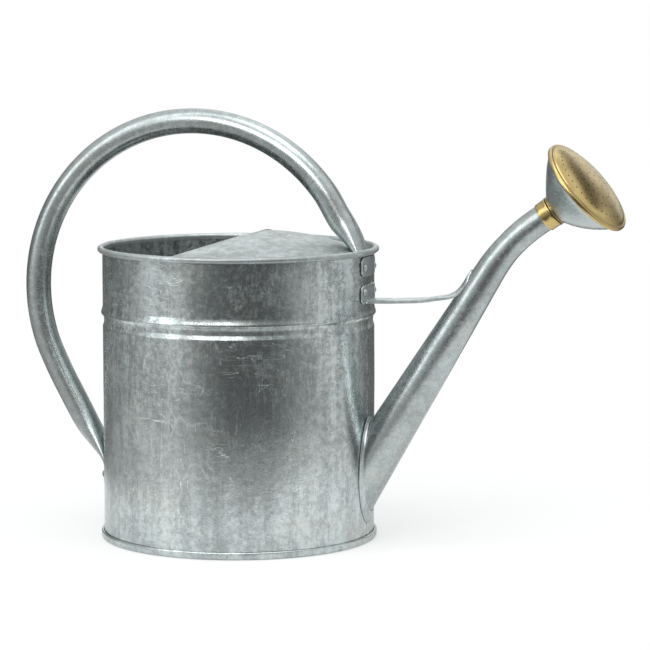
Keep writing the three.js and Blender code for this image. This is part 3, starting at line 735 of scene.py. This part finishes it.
def handle_rings(offset, sides, steps):
    """Rings along the hoop, whose flat ends bow with the body's wall."""
    line = refined(handle_line(), steps)
    rings = []
    for i, (x, z, half) in enumerate(line):
        heading = (line[min(i + 1, len(line) - 1)] - line[max(i - 1, 0)])[:2]
        heading /= np.linalg.norm(heading)
        flatness = min(max((TUBE_R - half) / (TUBE_R - FLAT), 0), 1)
        wide = spread_of(half) + offset
        thick = half + max(offset, -half * 0.75)
        wall = INNER_R if x > HOOP_X else -PLATE_FACE
        power = 1.0 - 0.3 * flatness
        ring = []
        for turn in even_turns(sides):
            across = sin(turn) * wide
            lift = copysign(abs(cos(turn)) ** power, cos(turn)) * thick
            bow = flatness ** 2 * across ** 2 / (2 * wall)
            ring.append((x + heading[1] * lift - bow, across, z - heading[0] * lift))
        rings.append(ring)
    return rings


def add_handle(material):
    sides = 64
    steps = 260
    outer = handle_rings(0.0, sides, steps)
    inner = handle_rings(-HANDLE_SHEET, sides, steps)[::-1]
    faces = quads(2 * steps, sides, True)
    piece("handle_skin", outer + inner, faces, CAN, material, ("handle_tube",), 50.0)


# Plates and rivets

RIVET_ASIDE = 12.3
BACK_RIVET_ASIDE = 8.5
HANDLE_RIVET_Z = 222.0
STAY_RIVET_Z = 202.5
BACK_RIVET_Z = 45.0
PLATE_CORNER = 6.0
FRONT_TAIL_ROOM = 1.2


def rounded_outline(half_width, low, high, corner, per_corner=10, per_side=14):
    """A rectangle with rounded corners, as points that run round it."""
    corners = ((half_width - corner, low + corner, -90), (half_width - corner, high - corner, 0),
               (corner - half_width, high - corner, 90), (corner - half_width, low + corner, 180))
    points = []
    for index, (y, z, start) in enumerate(corners):
        points += arc(y, z, corner, start, start + 90, per_corner)
        next_y, next_z, next_start = corners[(index + 1) % 4]
        last = np.array(points[-1])
        first = np.array(arc(next_y, next_z, corner, next_start, next_start, 1)[0])
        points += [tuple(between(last, first, share)) for share in np.linspace(0, 1, per_side)[1:-1]]
    return points


def curved_plate(name, outline, side, material, node=None):
    """A plate of sheet bent round the body, its edge softened."""
    inner = BODY_R + GAP
    centre = np.mean(outline, axis=0)
    rings = []
    levels = [(share, PLATE) for share in (0.0, 0.3, 0.6, 0.85, 0.965)]
    levels += [(0.985, PLATE * 0.85), (1.0, PLATE * 0.5)]
    levels += [(share, 0.0) for share in (1.0, 0.7, 0.3, 0.0)]
    for share, height in levels:
        ring = []
        for y, z in outline:
            py, pz = between(centre, np.array([y, z]), share)
            turn = py / BODY_R
            radius = inner + height
            ring.append((side * radius * cos(turn), radius * sin(turn), pz))
        rings.append(ring)
    faces = quads(len(rings), len(outline), False)
    nodes = (node,) if node else ()
    piece(name, rings, faces, CAN, material, nodes)


def on_wall(sideways, height, side):
    """A function that places points on the wall, their z pointing out of it."""
    turn = asin(sideways / BODY_R)
    outward = Vector((cos(turn) * side, sin(turn), 0))
    base = Matrix((UP.cross(outward), UP, outward)).transposed()
    spot = outward * BODY_R + UP * height
    return lambda x, y, z: tuple(base @ Vector((x, y, z)) + spot)


def add_rivet(name, sideways, height, side, head, tail, material):
    """A domed head, a shank through the sheets and a flattened tail."""
    head -= BODY_R
    tail -= BODY_R
    profile = [(0.0, head + 1.55), (0.7, head + 1.5), (1.4, head + 1.3), (2.1, head + 0.92),
               (2.65, head + 0.48), (2.95, head + 0.12), (2.98, head), (1.8, head), (1.8, tail), (2.7, tail),
               (2.6, tail - 0.6), (2.1, tail - 0.95), (1.0, tail - 1.0), (0.0, tail - 1.0)]
    place = on_wall(sideways, height, side)
    revolve(name + "_skin", profile, CAN, material, (name,), count=40, place=place)


def add_fittings(material):
    """The two plates at the handle's ends, and the six rivets."""
    top = rounded_outline(PLATE_HALF, 215.0, 230.7, PLATE_CORNER)
    curved_plate("handle_top_plate_skin", top, 1, material, "handle_top_plate")
    back = rounded_outline(PLATE_HALF, 35.0, 84.0, PLATE_CORNER)
    curved_plate("handle_back_plate_skin", back, -1, material, "handle_back_plate")
    back_face = PLATE_FACE + FLAT * 2 + GAP
    front_tail = FRONT_FLAT_X - FLAT - GAP - FRONT_TAIL_ROOM
    wall_tail = INNER_R - GAP
    rivets = (("handle_rivet", RIVET_ASIDE, HANDLE_RIVET_Z, 1, PLATE_FACE, front_tail),
              ("stay_rivet", RIVET_ASIDE, STAY_RIVET_Z, 1, PLATE_FACE, wall_tail),
              ("back_rivet", BACK_RIVET_ASIDE, BACK_RIVET_Z, -1, back_face, wall_tail))
    for name, aside, height, side, head, tail in rivets:
        add_rivet(name + "_near", -aside, height, side, head, tail, material)
        add_rivet(name + "_far", aside, height, side, head, tail, material)


# Stay

STAY_TOP = 196.2
STAY_DEPTH = 2.8
STAY_HALF = 9.5
STAY_SHEET = 1.0
STAY_LAND = 161.0
STAY_TIP = 182.0
STAY_FOOT_TOP = 208.3
STAY_FOOT_CORNER = 4.8


def catmull(points, share):
    """Centripetal Catmull Rom curve, as the CAD's curve runs."""
    points = [np.array(p, float) for p in points]
    last = len(points) - 1
    spot = share * last
    index = min(int(spot), last - 1)
    p1, p2 = points[index], points[index + 1]
    p0 = points[index - 1] if index > 0 else p1 * 2 - p2
    p3 = points[index + 2] if index + 2 <= last else p2 * 2 - p1
    d0, d1, d2 = (max(np.linalg.norm(b - a) ** 0.5, 1e-4) for a, b in ((p0, p1), (p1, p2), (p2, p3)))
    t1 = ((p1 - p0) / d0 - (p2 - p0) / (d0 + d1) + (p2 - p1) / d1) * d1
    t2 = ((p2 - p1) / d1 - (p3 - p1) / (d1 + d2) + (p3 - p2) / d2) * d1
    return hermite(spot - index, p1, p2, t1, t2)


def stay_line():
    """From the wall, level at first, then up to where the strap lies on the spout."""
    def rise(along, extra):
        x, z, slope = spout_point(along)
        lift = spout_radius(along) + GAP + STAY_SHEET + extra
        return x - sin(slope) * lift, z + cos(slope) * lift

    land = rise(STAY_LAND, 0.8)
    tip = rise(STAY_TIP, 0.0)
    start = BODY_R + GAP + PLATE * 0.6
    return [(start, STAY_TOP), (between(start, land[0], 0.35), STAY_TOP + 0.9),
            (between(start, land[0], 0.72), between(STAY_TOP, land[1], 0.33)), land, tip]


def add_stay(material):
    """A strap with its edges turned down, which hugs the spout at its end, and its foot."""
    line = stay_line()
    tube = spout_radius(STAY_LAND) + GAP + STAY_SHEET
    steps = 90
    across = 20
    rings = []
    for i in range(steps + 1):
        share = i / steps
        x, z = catmull(line, share)
        ahead = catmull(line, min(share + 0.004, 1.0))
        behind = catmull(line, max(share - 0.004, 0.0))
        heading = (ahead - behind) / np.linalg.norm(ahead - behind)
        up = (-heading[1], heading[0])
        hug = smoothstep(share, 0.55, 0.85)
        end = smoothstep(share, 0.86, 1.0)
        half = STAY_HALF * (1 - 0.35 * end - 0.1 * end ** 6)
        depth = between(STAY_DEPTH, STAY_SHEET + 0.8, hug)
        outer = []
        inner = []
        for j in range(across + 1):
            y = half * (2 * j / across - 1)
            arch = hug * (tube - sqrt(tube ** 2 - y ** 2))
            shoulder = 0.7 * max(0.0, (abs(y) / half - 0.9) / 0.1) ** 2
            outer.append((y, -arch - shoulder))
            inner.append((y * (1 - STAY_SHEET / half), -arch - STAY_SHEET - shoulder * 0.5))
        edge = outer[0][1] - depth + 0.7
        loop = [(-half, edge)] + outer + [(half, edge), (half - STAY_SHEET, edge)]
        loop += inner[::-1] + [(STAY_SHEET - half, edge)]
        rings.append([(x + up[0] * lift, y, z + up[1] * lift) for y, lift in loop])
    strap = piece("stay_strap_skin", rings, sheet_faces(rings), CAN, material,
                  ("spout_stay",), 30.0)
    cut(strap, [spout_loft(GAP, 80, SPOUT_LENGTH, 60, 96)], 30.0)
    foot = rounded_outline(PLATE_HALF, STAY_TOP - STAY_DEPTH, STAY_FOOT_TOP, STAY_FOOT_CORNER)
    curved_plate("stay_foot_skin", foot, 1, material)


# Hood

HOOD_R = INNER_R - GAP - 0.2
HOOD_SHEET = 0.7
HOOD_EDGE_TURN = 110
HOOD_FRONT_TURN = 6
HOOD_WALL_Z = 230.2
RIDGE_EDGE_X = 26
RIDGE_FRONT_X = 97
RIDGE_EDGE_Z = 249.3
RIDGE_FRONT_Z = 235.4
RIDGE_SOFT = 0.16
ROOM_RINGS = 40
HEM_END = 0.985
HEM_HALF_WIDTH = 1.35
HEM_HALF_HEIGHT = 0.75
HEM_INWARD = 0.6
HEM_DROP = 0.35


def hood_point(share, side, lift=0.0):
    """A point of the hood: share runs from the free edge to the front, side across it."""
    sweep = radians(between(HOOD_EDGE_TURN, HOOD_FRONT_TURN, share))
    ridge_x = between(RIDGE_EDGE_X, RIDGE_FRONT_X, share)
    ridge_z = between(RIDGE_EDGE_Z, RIDGE_FRONT_Z, share ** 2.2) - 2.2 * share * (1 - share)
    out = abs(side)
    x = between(ridge_x, HOOD_R * cos(sweep), out)
    y = copysign(HOOD_R * sin(sweep) * out, side)
    drop = (hypot(out, RIDGE_SOFT) - RIDGE_SOFT) / (hypot(1, RIDGE_SOFT) - RIDGE_SOFT)
    z = between(ridge_z, HOOD_WALL_Z, drop)
    wave = noise.noise(Vector((x / 26.0, y / 30.0, 3.1))) * 0.5 * sin(pi * min(out, 1.0)) ** 0.5
    return x, y, z + lift + wave * (1 - (1 - share) ** 8)


def add_hood(material, painted_shade_zinc):
    """The half hood, cut out round the handle's front end, and its hem, with painted shade on the hem's far
    half.
    """
    rows = 110
    columns = 120
    sides = [2 * j / columns - 1 for j in range(columns + 1)]
    rings = []
    for i in range(rows + 1):
        top = [hood_point(i / rows, side) for side in sides]
        bottom = [hood_point(i / rows, side, -HOOD_SHEET) for side in sides][::-1]
        rings.append(top + bottom)
    hood = piece("hood_skin", rings, sheet_faces(rings), CAN, material,
                 ("top_hood",), 50.0)
    grown = handle_rings(GAP + 0.2, 48, 120)[:ROOM_RINGS]
    cut(hood, [(joined(grown), tube_faces(grown))], 50.0)
    add_hem("hood_hem", -HEM_END, 0.0, material)
    # The far half of the hem is near black zinc: painted shade for the underside of the fold, seen in
    # shadow.
    add_hem("hood_hem_far", 0.0, HEM_END, painted_shade_zinc)


def add_hem(name, start, end, material):
    """The free edge folded under: a flat rounded bead that follows the edge."""
    spots = [hood_point(0.012, side) for side in np.linspace(start, end, 75)]
    rings = []
    for i, spot in enumerate(spots):
        heading = heading_at(spots, i)
        inward = Vector((1, 0, 0)) - heading * heading.x
        inward.normalize()
        normal = inward.cross(heading)
        if normal.z < 0:
            normal = -normal
        ring = []
        for turn in even_turns(14):
            offset = inward * (cos(turn) * HEM_HALF_WIDTH + HEM_INWARD)
            offset += normal * (sin(turn) * HEM_HALF_HEIGHT - HEM_DROP)
            ring.append(tuple(Vector(spot) + offset))
        rings.append(ring)
    piece(name, rings, tube_faces(rings), CAN, material)


# Ferrule, washer and rose, made on their own axis and placed by the spout's outlet

OUT_X, OUT_Z, OUT_SLOPE = spout_point(SPOUT_LENGTH)
NECK_DIR = Vector((cos(OUT_SLOPE), 0, sin(OUT_SLOPE)))
NECK_UP = Vector((-sin(OUT_SLOPE), 0, cos(OUT_SLOPE)))
NECK_SIDE = NECK_DIR.cross(NECK_UP)
NECK_BASE = Matrix((NECK_SIDE, -NECK_UP, NECK_DIR)).transposed()
FERRULE_BACK = -4.0
FERRULE_FRONT = 5.5
THREAD_R = 9.0
PITCH = 2.0
WASHER_FRONT = FERRULE_FRONT + 0.8
NECK_SEAT = WASHER_FRONT + 0.1
BOWL_R = 40.0
BOWL_DEPTH = 37.0
BOWL_POWER = 1.33
BOWL_MOUTH = 12.6
BOWL_BOTTOM = -BOWL_DEPTH * (1 - (BOWL_MOUTH / BOWL_R) ** BOWL_POWER) ** (1 / BOWL_POWER)
RIM_STATION = NECK_SEAT + 1.0 + GAP - BOWL_BOTTOM
TIP_AXIS = Vector((cos(radians(51)), sin(radians(51)), 0))
TIP_ANGLE = radians(8.3)
FACE_R = 42.2
HOLE_R = 0.65
HOLE_RINGS = 4
RING_STEP = 8.2
HOLES_MORE = 9
RING_TWIST = 0.2


def on_neck(x, y, z):
    return tuple(NECK_BASE @ Vector((x, y, z)) + Vector((OUT_X, 0, OUT_Z)))


def tipped(x, y, z):
    """Bowl and face: rings tip gradually from the neck's axis to the face's direction."""
    share = smoothstep(1 - z / BOWL_BOTTOM, 0, 1)
    flat = Matrix.Rotation(TIP_ANGLE * share, 3, TIP_AXIS) @ Vector((x, y, max(z, 0)))
    flat.z += min(z, 0) + RIM_STATION
    return on_neck(*flat)


def face_place(x, y, z):
    flat = Matrix.Rotation(TIP_ANGLE, 3, TIP_AXIS) @ Vector((x, y, z))
    flat.z += RIM_STATION
    return on_neck(*flat)


def add_ferrule(brass, rubber):
    back, front = FERRULE_BACK, FERRULE_FRONT
    profile = [(END_R + GAP, back), (11.6, back), (11.82, back + 0.12), (11.92, back + 0.4)]
    profile += [(11.95, back + 3), (12.05, front - 2.0), (12.1, front - 1.75), (12.3, front - 1.6)]
    profile += arc(12.1, front - 1.1, 0.42, 60, 0, 3) + arc(12.1, front - 0.45, 0.42, 0, 80, 4)
    profile += [(11.6, front), (THREAD_R + GAP, front)]
    profile += [(THREAD_R + GAP + 0.02, z) for z in np.linspace(front - 0.4, GAP + 0.4, 24)]
    profile += [(THREAD_R + GAP, GAP), (END_R + GAP, GAP)]
    revolve("ferrule_skin", profile, CAN, brass, ("spout_ferrule",), count=144, place=on_neck)
    low, high = front + 0.1, WASHER_FRONT
    washer = [(THREAD_R + GAP, low), (11.7, low)] + arc(11.65, (low + high) / 2, 0.35, -90, 90, 6)
    washer += [(11.7, high), (THREAD_R + GAP, high)]
    revolve("washer_skin", washer, WASHER, rubber, ("rose_washer",), count=144,
            place=on_neck)


def add_neck(brass):
    """The threaded neck: a fine helix runs round it, two millimetres a turn."""
    low = NECK_SEAT - 12.0
    heights = np.linspace(low + 0.6, NECK_SEAT - 0.9, 56)
    profile = [(8.0, low), (8.4, low)] + [(8.62, z) for z in heights]
    profile += [(8.6, NECK_SEAT - 0.5), (8.6, NECK_SEAT), (12.2, NECK_SEAT)]
    profile += arc(12.1, NECK_SEAT + 0.5, 0.5, -60, 90, 6) + [(8.0, NECK_SEAT + 1.0)]
    thread_low, thread_high = heights[0], heights[-1]

    def thread(turn, r, z):
        if r < 8.61 or r > 8.63:
            return 0.0
        wave = 1 - abs(2 * ((z / PITCH - turn / (2 * pi)) % 1.0) - 1)
        ends = smoothstep(z, thread_low, thread_low + 1) * (1 - smoothstep(z, thread_high - 1, thread_high))
        return 0.36 * min(1.0, wave * 1.5) * ends

    revolve("neck_skin", profile, ROSE, brass, ("rose_neck",), count=144, bump=thread, place=on_neck)


def bowl_line(offset, steps):
    start = acos((BOWL_MOUTH / BOWL_R) ** (BOWL_POWER / 2))
    power = 2 / BOWL_POWER
    return [((BOWL_R - offset) * cos(t) ** power, -(BOWL_DEPTH - offset * 1.2) * sin(t) ** power)
            for t in np.linspace(start, 0.02, steps + 1)]


def dome_height(r):
    return 1.5 + 6.5 * max(0.0, 1 - (r / (FACE_R - 3.4)) ** 2) ** 0.7


def dome_line(offset, steps):
    radii = (FACE_R - 3.4) * np.sin(np.linspace(0, pi / 2, steps + 1))
    return [(r, dome_height(r) - offset) for r in radii]


def water_holes():
    """Cutters for the rings of holes, drilled straight through the dome."""
    spots = [(0.0, 0.0)]
    for ring in range(1, HOLE_RINGS + 1):
        for i in range(ring * HOLES_MORE):
            turn = i / (ring * HOLES_MORE) * 2 * pi + ring * RING_TWIST
            spots.append((ring * RING_STEP * cos(turn), ring * RING_STEP * sin(turn)))
    cutters = []
    for x, y in spots:
        middle = dome_height(hypot(x, y))
        rings = [[face_place(x + HOLE_R * cos(t), y + HOLE_R * sin(t), height) for t in even_turns(12)]
                 for height in (middle - 4, middle + 4)]
        cutters.append((joined(rings), tube_faces(rings)))
    return cutters


def add_rose(brass, bowl_zinc):
    bowl = bowl_line(0, 40) + bowl_line(0.7, 40)[::-1]
    revolve("bowl_skin", bowl, ROSE, bowl_zinc, ("rose_bowl",), count=192, place=tipped)
    lip = BOWL_R + GAP
    outer = dome_line(0, 36)
    rolled = arc(FACE_R - 1.7, -0.45, 1.7, 82, 0, 8) + arc(FACE_R - 1.1, -1.3, 1.1, 0, -88, 7)
    rolled += [(lip, -2.38), (lip, -1.75)]
    inner = arc(FACE_R - 1.2, -1.2, 0.55, -80, 0, 4) + arc(FACE_R - 1.8, -0.5, 1.15, 0, 84, 6)
    dome_in = dome_line(0.6, 36)[::-1]
    profile = outer + [(FACE_R - 2.7, 1.15)] + rolled + inner + [(FACE_R - 2.9, 0.5)] + dome_in
    face = revolve("face_skin", profile, ROSE, brass, ("rose_face",), count=192, place=face_place)
    cut(face, water_holes(), 50.0)


# Solder

SOLDER_Z = 232.2
SOLDER_R = 2.0
SOLDER_STAY_R = 1.2
SOLDER_IN = 0.6
SOLDER_FROM = 104
SOLDER_TO = 109.4


def solder_bead(name, path, radius, material):
    """A low uneven bead of solder along a list of points."""
    rings = []
    for i, spot in enumerate(path):
        heading = heading_at(path, i)
        side = heading.cross(UP).normalized()
        up = side.cross(heading)
        taper = sin(pi * (i + 0.5) / len(path)) ** 0.35
        size = radius * taper * (1 + 0.4 * noise.noise(Vector(spot) * 0.4))
        rings.append([tuple(Vector(spot) + (side * cos(t) + up * sin(t)) * size)
                      for t in even_turns(12)])
    piece(name, rings, tube_faces(rings), CAN, material, sharp=70.0)


def add_solder(material):
    """Solder at both ends of the hood's free edge, and at the stay's corner."""
    edge_r = INNER_R - SOLDER_IN
    ends = (("solder_far", SOLDER_FROM, SOLDER_TO), ("solder_near", -SOLDER_TO, -SOLDER_FROM))
    for name, start, end in ends:
        turns = np.radians(np.linspace(start, end, 14))
        path = [(edge_r * cos(t), edge_r * sin(t), SOLDER_Z) for t in turns]
        solder_bead(name, path, SOLDER_R, material)
    corner = [(BODY_R + 0.9 + 0.12 * i, -10.2 - 0.1 * i, STAY_TOP - 2.4 + 0.1 * i) for i in range(8)]
    solder_bead("solder_stay", corner, SOLDER_STAY_R, material)


# Floor, world and lights

# Parts of the studio, in degrees to the right of the camera's side: where each begins, is full,
# starts to fade and ends. Where the left side begins is given apart.
LEFT_SIDE = (-68, -56, -8)
RIGHT_SIDE = (16, 76, 98, 140)
LEFT_STRIP = (-82, -75, -61, -52)
BACK_PANEL = (138, 146, 164, 172)
BACK_SHADE = (98, 122, 150, 168)
WORLD_LEFT = -125
FLOOR_LEFT = -170
FLOOR_R = 1.6
FLOOR_Z = -0.0004
WHITE = (1, 1, 1, 1)
FLOOR_GREY = (0.8, 0.8, 0.8, 1)
STUDIO_TINT = (0.97, 1.0, 1.0, 1)
LEAST_LIGHT = 0.1
AIM_HEIGHT = 0.16


def camera_angle(where):
    """The angle of a direction or a place from the camera's side, to the right."""
    toward = (cos(CAMERA_SIDE), sin(CAMERA_SIDE), 0.0)
    right = (-sin(CAMERA_SIDE), cos(CAMERA_SIDE), 0.0)
    return maths("ARCTAN2", dot_product(where, right), dot_product(where, toward))


def turn_span(angle, start, end, to_low=0.0, to_high=1.0):
    return span(angle, radians(start), radians(end), to_low, to_high)


def window(angle, start, full, fade, end):
    return times(turn_span(angle, start, full), turn_span(angle, fade, end, 1.0, 0.0))


def surround(angle, left_start):
    """How bright the studio is low down: dark at the front, lighter at both sides, white behind."""
    left = times(window(angle, left_start, *LEFT_SIDE), 0.5)
    right = times(window(angle, *RIGHT_SIDE), 0.64)
    return add(add(left, right), turn_span(maths("ABSOLUTE", angle), 168, 176, 0.14, 1.0))


def add_floor():
    """A round white floor that keeps the can's shadow and fades into the white beyond."""
    mesh = bpy.data.meshes.new("floor")
    ring = [(FLOOR_R * cos(t), FLOOR_R * sin(t), FLOOR_Z) for t in even_turns(96)]
    mesh.from_pydata(ring, [], [tuple(range(len(ring)))])
    floor = into_scene("floor", mesh)
    material, tree, shader = new_material("floor_white")
    feed(shader, "Base Color", FLOOR_GREY)
    feed(shader, "Roughness", 0.9)
    where = object_place(tree)
    reach = vector_length(where)
    rays = put(tree, "LightPath").outputs
    white = put(tree, "Emission", {"Color": WHITE, "Strength": 1.0})
    fade = times(span(reach, 0.12, 0.5, 0.55, 1.0), rays["Is Camera Ray"])
    seen = put(tree, "MixShader", {0: fade, 1: shader.outputs[0], 2: white.outputs[0]})
    level = surround(camera_angle(where), FLOOR_LEFT)
    dim = put(tree, "Emission", {"Color": WHITE, "Strength": level})
    gloss = times(span(reach, 0.33, 0.47), rays["Is Glossy Ray"])
    mixed = put(tree, "MixShader", {0: gloss, 1: seen.outputs[0], 2: dim.outputs[0]})
    feed(tree.nodes["Material Output"], "Surface", mixed.outputs[0])
    mesh.materials.append(material)


def studio_level(angle, height):
    low = times(surround(angle, WORLD_LEFT), span(height, 0.35, 0.5, 1.0, 0.4))
    level = add(low, span(height, 0.22, 0.36, 0.0, 0.2))
    strip = times(window(angle, *LEFT_STRIP), span(height, 0.0, 0.08))
    level = add(level, times(strip, 1.9))
    level = add(level, times(span(height, 0.3, 0.62), 0.6))
    panel = times(window(angle, *BACK_PANEL), 0.6)
    backdrop = add(turn_span(maths("ABSOLUTE", angle), 98, 122, 0.0, 0.12), panel)
    level = add(level, times(backdrop, span(height, 0.02, 0.1)))
    shade_band = times(span(height, 0.38, 0.45), span(height, 0.53, 0.6, 1.0, 0.0))
    level = minus(level, times(shade_band, window(angle, *BACK_SHADE)))
    return larger(level, LEAST_LIGHT)


def add_world():
    """Plain white for the camera, and a studio for light and reflections."""
    world = bpy.data.worlds.new("studio")
    bpy.context.scene.world = world
    world.use_nodes = True
    tree = world.node_tree
    tree.nodes.clear()
    where = put(tree, "TexCoord").outputs["Generated"]
    level = studio_level(camera_angle(where), coordinates(where)[2])
    studio = put(tree, "Background", {"Color": STUDIO_TINT, "Strength": level})
    white = put(tree, "Background", {"Color": WHITE, "Strength": 1.0})
    seen = put(tree, "LightPath").outputs["Is Camera Ray"]
    mixed = put(tree, "MixShader", {0: seen, 1: studio.outputs[0], 2: white.outputs[0]})
    put(tree, "OutputWorld", {"Surface": mixed.outputs[0]})


def add_light(name, angle, distance, height, size, power):
    """A soft box at an angle to the right of the camera's side, aimed at the can."""
    data = bpy.data.lights.new(name, "AREA")
    data.shape = "RECTANGLE"
    data.size, data.size_y = size
    data.energy = power
    turn = radians(angle) + CAMERA_SIDE
    spot = (distance * cos(turn), distance * sin(turn), height)
    light = into_scene(name, data)
    light.location = spot
    aim = UP * AIM_HEIGHT - Vector(spot)
    light.rotation_euler = aim.to_track_quat("-Z", "Y").to_euler()


def add_lights():
    add_light("key_box", angle=-22, distance=1.5, height=1.1, size=(1.3, 0.7), power=13)
    add_light("top_box", angle=30, distance=0.5, height=1.9, size=(1.2, 1.2), power=9)


def main():
    add_camera()
    # The wall's darker area, turned towards the camera, is a painted reflection of the studio's dark front.
    wall = zinc("zinc_wall", light=0.7, dark=0.35, smooth=0.16, coarse=0.27, mottle=0.95, scratches=0.85,
                oxide=0.33, bump=0.12,
                painted_reflection={"turn": -66.0, "width": 0.6, "low": 0.09, "high": 0.3, "depth": 0.5})
    tube = zinc("zinc_tube", light=0.53, dark=0.34, smooth=0.2, coarse=0.3, mottle=0.7, oxide=0.35,
                streak=0.1, bump=0.07)
    hood = zinc("zinc_hood", light=0.58, dark=0.34, scratches=0.5, oxide=0.4)
    fitting = zinc("zinc_fitting", light=0.66, dark=0.41)
    bowl = zinc("zinc_bowl", light=0.6, dark=0.52, smooth=0.24, coarse=0.32, mottle=0.16, scratches=0.1,
                oxide=0.2, streak=0.0, bump=0.02)
    # Near black zinc: painted shade for the shadowed underside of the hem's far half.
    painted_shade_zinc = zinc("zinc_painted_shade", light=0.14, dark=0.06, smooth=0.5, coarse=0.65, scratches=0.2, oxide=0.5,
                   bump=0.12)
    brass = brass_material()
    rubber = rubber_material()
    add_body(wall)
    add_spout(tube, fitting)
    add_handle(tube)
    add_fittings(fitting)
    add_stay(fitting)
    add_hood(hood, painted_shade_zinc)
    add_ferrule(brass, rubber)
    add_neck(brass)
    add_rose(brass, bowl)
    add_solder(fitting)
    add_floor()
    add_world()
    add_lights()
    bpy.context.scene.view_settings.view_transform = "Standard"


main()
